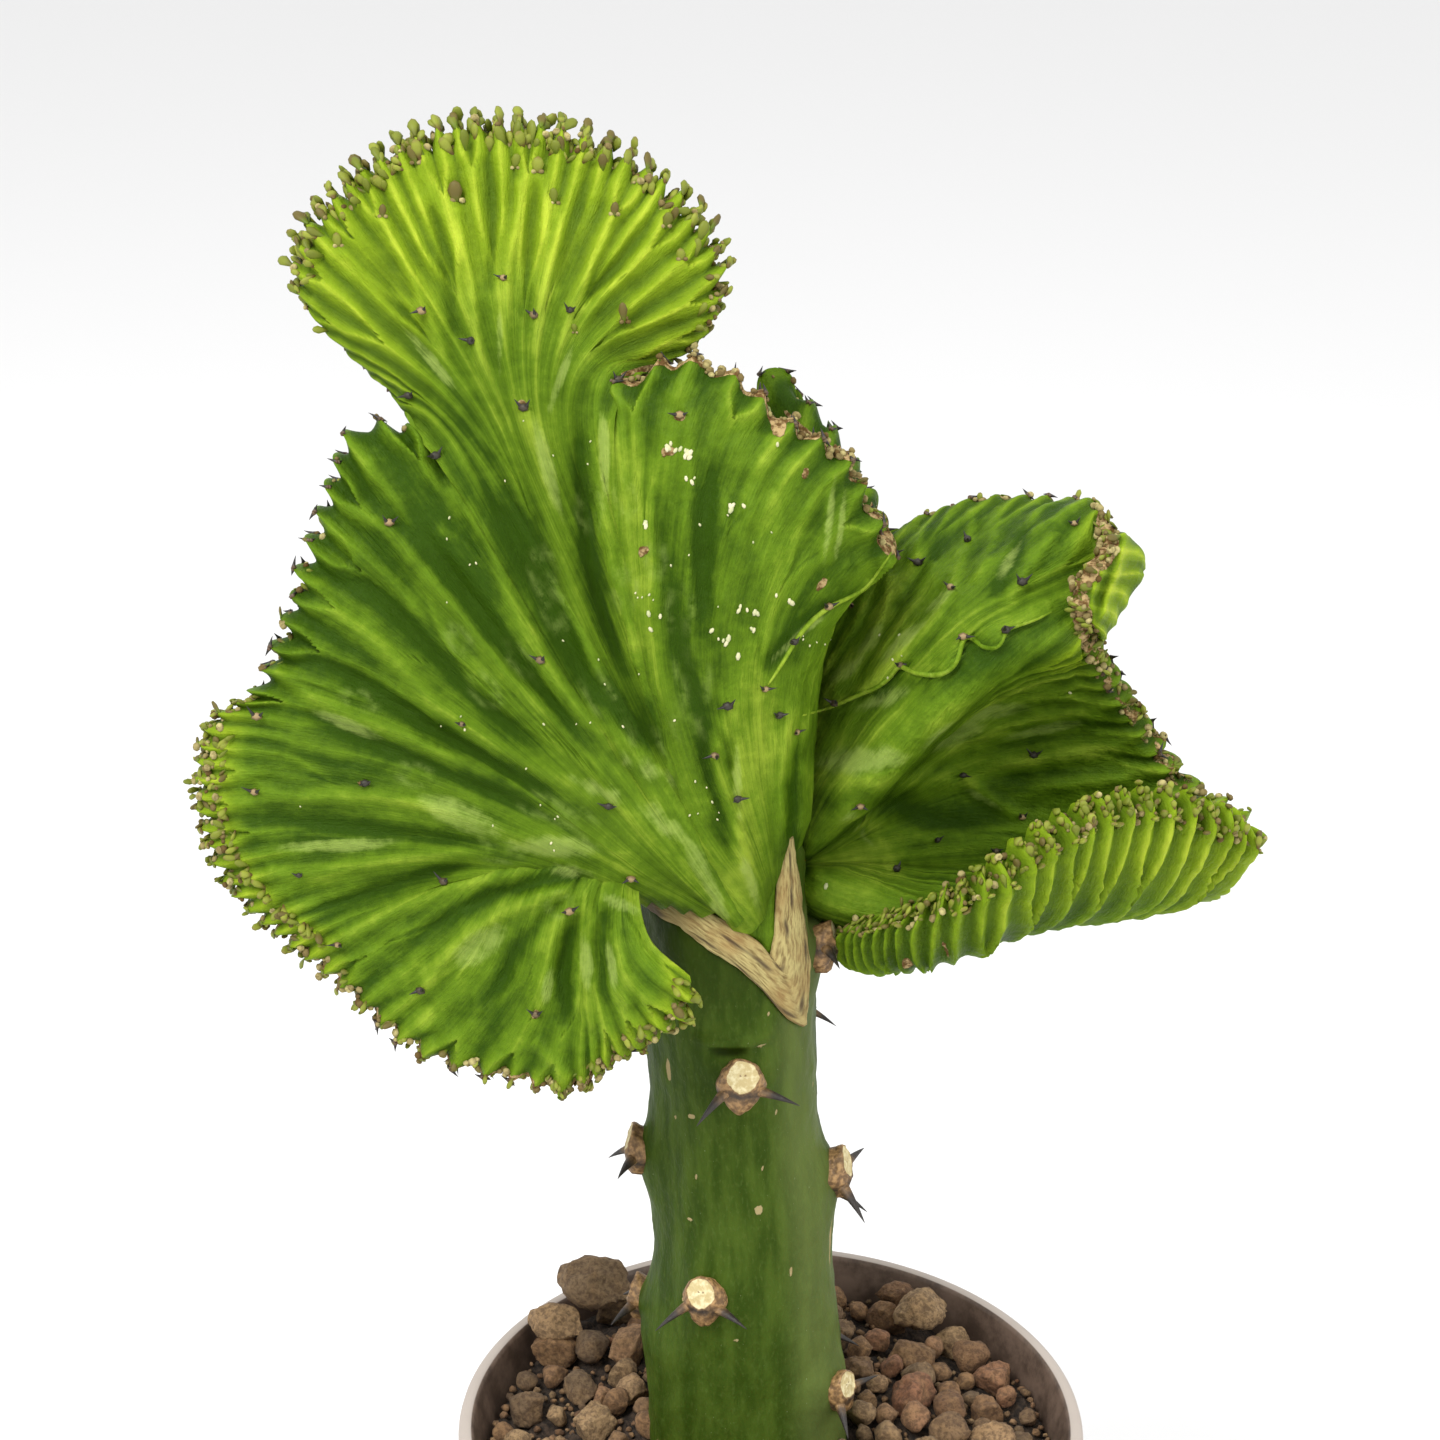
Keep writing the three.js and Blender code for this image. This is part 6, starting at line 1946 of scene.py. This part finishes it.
# %% Stem, callus and shields
def stem_finish():
    f = Finish("stem_skin")
    flow = f.attribute("flow", out="Vector")
    nick, tone = f.attribute("nick"), f.attribute("tone")
    tall = f.noise(1, 4, f.stretched(flow, (0.32, 0.07, 0.4)))
    fine = f.noise(1, 3, f.stretched(flow, (1.6, 0.7, 1)))
    colour = f.mix(tall.step(0.35, 0.68), (0.028, 0.053, 0.004), (0.055, 0.091, 0.010))
    colour = f.mix(fine.step(0.5, 0.75) * 0.35, colour, (0.085, 0.125, 0.026))
    # Tone above 0 is a painted sheen on the right side; below 0 it is painted shade under the crest, in the
    # slit and on the top.
    colour = f.mix(tone.step(0, 1), colour, (0.15, 0.185, 0.055))
    colour = f.mix((tone * -1).step(0, 1), colour, (0.012, 0.022, 0.001))
    flecks = f.noise(1, 2, f.stretched(flow, (2.2, 1.1, 1))).step(0.72, 0.76)
    colour = f.mix(flecks * 0.5, colour, (0.26, 0.31, 0.15))
    corky = (nick + (fine - 0.5) * 0.5).step(0.42, 0.6)
    colour = f.mix(corky, colour, (0.34, 0.27, 0.13))
    bumps = f.bump(fine + tall + corky * 1.5, 0.0003, 0.5)
    return f.surface(
        Base_Color=colour, Roughness=0.5 + corky * 0.35 + (fine - 0.5) * 0.2, Normal=bumps,
        Specular_IOR_Level=0.05, Subsurface_Weight=0.08, Subsurface_Scale=0.0015,
    )


def callus_finish():
    f = Finish("callus_cork")
    flow, crack = f.attribute("flow", out="Vector"), f.attribute("crack")
    fibre = f.noise(1, 5, f.stretched(flow, (2.6, 0.28, 1)))
    blotch = f.noise(160, 3)
    colour = f.mix(fibre.step(0.3, 0.6), (0.20, 0.135, 0.042), (0.47, 0.385, 0.15))
    colour = f.mix((blotch - 0.42) * 2.4, colour, (0.30, 0.17, 0.05))
    # crack holds the cracks and the painted shadow at the lip's left end
    colour = f.mix(crack.step(0.3, 0.95) * 0.85, colour, (0.05, 0.026, 0.012))
    return f.surface(Base_Color=colour, Roughness=0.85, Normal=f.bump(fibre, 0.0005, 0.9))


def shield_finish():
    f = Finish("horn_and_scar")
    scar, tone = f.attribute("scar"), f.attribute("tone")
    grain = f.noise(1100, 4)
    horn = f.mix(grain.step(0.35, 0.7), (0.12, 0.062, 0.020), (0.38, 0.22, 0.085))
    horn = f.mix(tone, horn, (0.018, 0.013, 0.010))
    cream = f.mix(grain.step(0.4, 0.7), (0.50, 0.40, 0.19), (0.70, 0.62, 0.37))
    cream = f.mix(tone.step(0.4, 0.9) * 0.85, cream, (0.16, 0.08, 0.03))
    colour = f.mix((scar + (grain - 0.5) * 0.4).step(0.45, 0.75), horn, cream)
    return f.surface(Base_Color=colour, Roughness=0.55 + scar * 0.25, Normal=f.bump(grain, 0.0004, 0.7))


finish_piece("rootstock_stem", stock, stem_finish(), ["rootstock"])
finish_piece("scion_wedge", wedge, crest_skin, ["crest"])
finish_piece("graft_callus_lip", callus, callus_finish(), ["graft_callus"])
pad_nodes = [f"spine_pair_{number + 1}" for number in range(len(SPINE_CUSHIONS))]
finish_piece("spine_pairs", spines, shield_finish(), pad_nodes)

# %% [markdown]
# The pot is pale plastic outside, and inside it is painted dark brown as shade. The stones vary in colour
# from piece to piece, from grey-brown to tan and brick red, and their pores are dark.

# %% Pot, soil and stones
def pot_finish():
    f = Finish("pot_plastic")
    cloud = f.noise(60, 4)
    outer = f.mix(cloud, (0.36, 0.31, 0.27), (0.46, 0.40, 0.35))
    fine_cloud = f.noise(130, 5, roughness=0.7)
    # The inner wall's dark brown is painted shade
    inner = f.mix(fine_cloud.step(0.35, 0.65), (0.060, 0.038, 0.026), (0.150, 0.100, 0.072))
    colour = f.mix(f.attribute("inside").step(0.3, 0.7), outer, inner)
    roughness = 0.55 + (fine_cloud - 0.5) * 0.25
    return f.surface(Base_Color=colour, Roughness=roughness, Normal=f.bump(f.noise(900, 2), 0.0001, 0.4))


def soil_finish():
    f = Finish("potting_soil")
    grain = f.noise(700, 5, roughness=0.7)
    colour = f.mix(grain.step(0.35, 0.7), (0.012, 0.008, 0.005), (0.075, 0.048, 0.030))
    return f.surface(Base_Color=colour, Roughness=0.95, Normal=f.bump(grain, 0.001, 1.0))


def stone_finish():
    f = Finish("lava_stone")
    lot = f.attribute("lot")
    ramp = [(0.0, (0.16, 0.082, 0.038)), (0.25, (0.27, 0.150, 0.066)), (0.5, (0.13, 0.085, 0.045)),
            (0.75, (0.36, 0.235, 0.115)), (1.0, (0.25, 0.105, 0.052))]
    body = f.node("ShaderNodeValToRGB", {"stops": ramp}, {"Fac": lot})
    grain = f.noise(900, 5, roughness=0.72)
    patches = f.noise(230, 3)
    colour = f.mix(patches.step(0.4, 0.7) * 0.5, body, (0.28, 0.165, 0.070))
    colour = f.mix(grain.step(0.60, 0.38) * 0.65, colour, (0.045, 0.022, 0.011))
    colour = f.mix(grain.step(0.62, 0.72) * 0.4, colour, (0.44, 0.32, 0.19))
    return f.surface(Base_Color=colour, Roughness=0.9, Normal=f.bump(grain + patches * 0.5, 0.0007, 0.9))


lava = stone_finish()
finish_piece("nursery_pot", pot_mesh, pot_finish(), ["pot"])
finish_piece("potting_soil", soil_mesh, soil_finish(), ["soil"])
finish_piece("lava_stones", stones_mesh, lava, [f"stone_{number}" for number in LARGE_STONES])
for number, mesh in enumerate(small_stones):
    finish_piece(f"stones_small_{number}", mesh, lava)

# %% [markdown]
# ## Floor and light
#
# A product photograph on white: a pale floor that runs out of the picture, a large soft light high on the
# left in front, a second one on the right and a bright world all round, so that the shadows stay soft and
# light.

# %% Floor, lights and world
FLOOR_HALF = 3
LIT_HEIGHT = 0.22
bm = bmesh.new()
bmesh.ops.create_grid(bm, x_segments=1, y_segments=1, size=FLOOR_HALF)
floor_mesh = made_mesh("floor", bm)
floor = bpy.data.objects.new("floor", floor_mesh)
bpy.context.scene.collection.objects.link(floor)
paper = Finish("floor_paper")
floor_mesh.materials.append(paper.surface(Base_Color=(0.82, 0.82, 0.82), Roughness=0.9))
floor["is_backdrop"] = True


def soft_light(name, place, size, power):
    """A round area light that faces the plant."""
    lamp = bpy.data.objects.new(name, bpy.data.lights.new(name, "AREA"))
    lamp.data.shape = "DISK"
    lamp.data.size = size
    lamp.data.energy = power
    lamp.location = place
    aim = Vector((0, 0, LIT_HEIGHT)) - Vector(place)
    lamp.rotation_euler = aim.to_track_quat("-Z", "Y").to_euler()
    bpy.context.scene.collection.objects.link(lamp)


soft_light("key_light", (-0.5, -0.6, 1.25), 0.6, 15)
soft_light("fill_light", (0.85, -0.5, 0.8), 0.8, 5)

world = bpy.data.worlds.new("studio")
bpy.context.scene.world = world
world.use_nodes = True
world.node_tree.nodes["Background"].inputs["Color"].default_value = (1, 1, 1, 1)
world.node_tree.nodes["Background"].inputs["Strength"].default_value = 1.0
bpy.context.scene.view_settings.view_transform = "Standard"

# %% [markdown]
# ## Sizes
#
# The box of the finished model is printed beside the frame's, so that the two can be compared.

# %% Print the sizes and finish
visual_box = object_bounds()
sizes = {"cad": [[float(v) for v in corner] for corner in cad_box]}
sizes["visual"] = [[float(v) for v in corner] for corner in visual_box]
print(sizes)
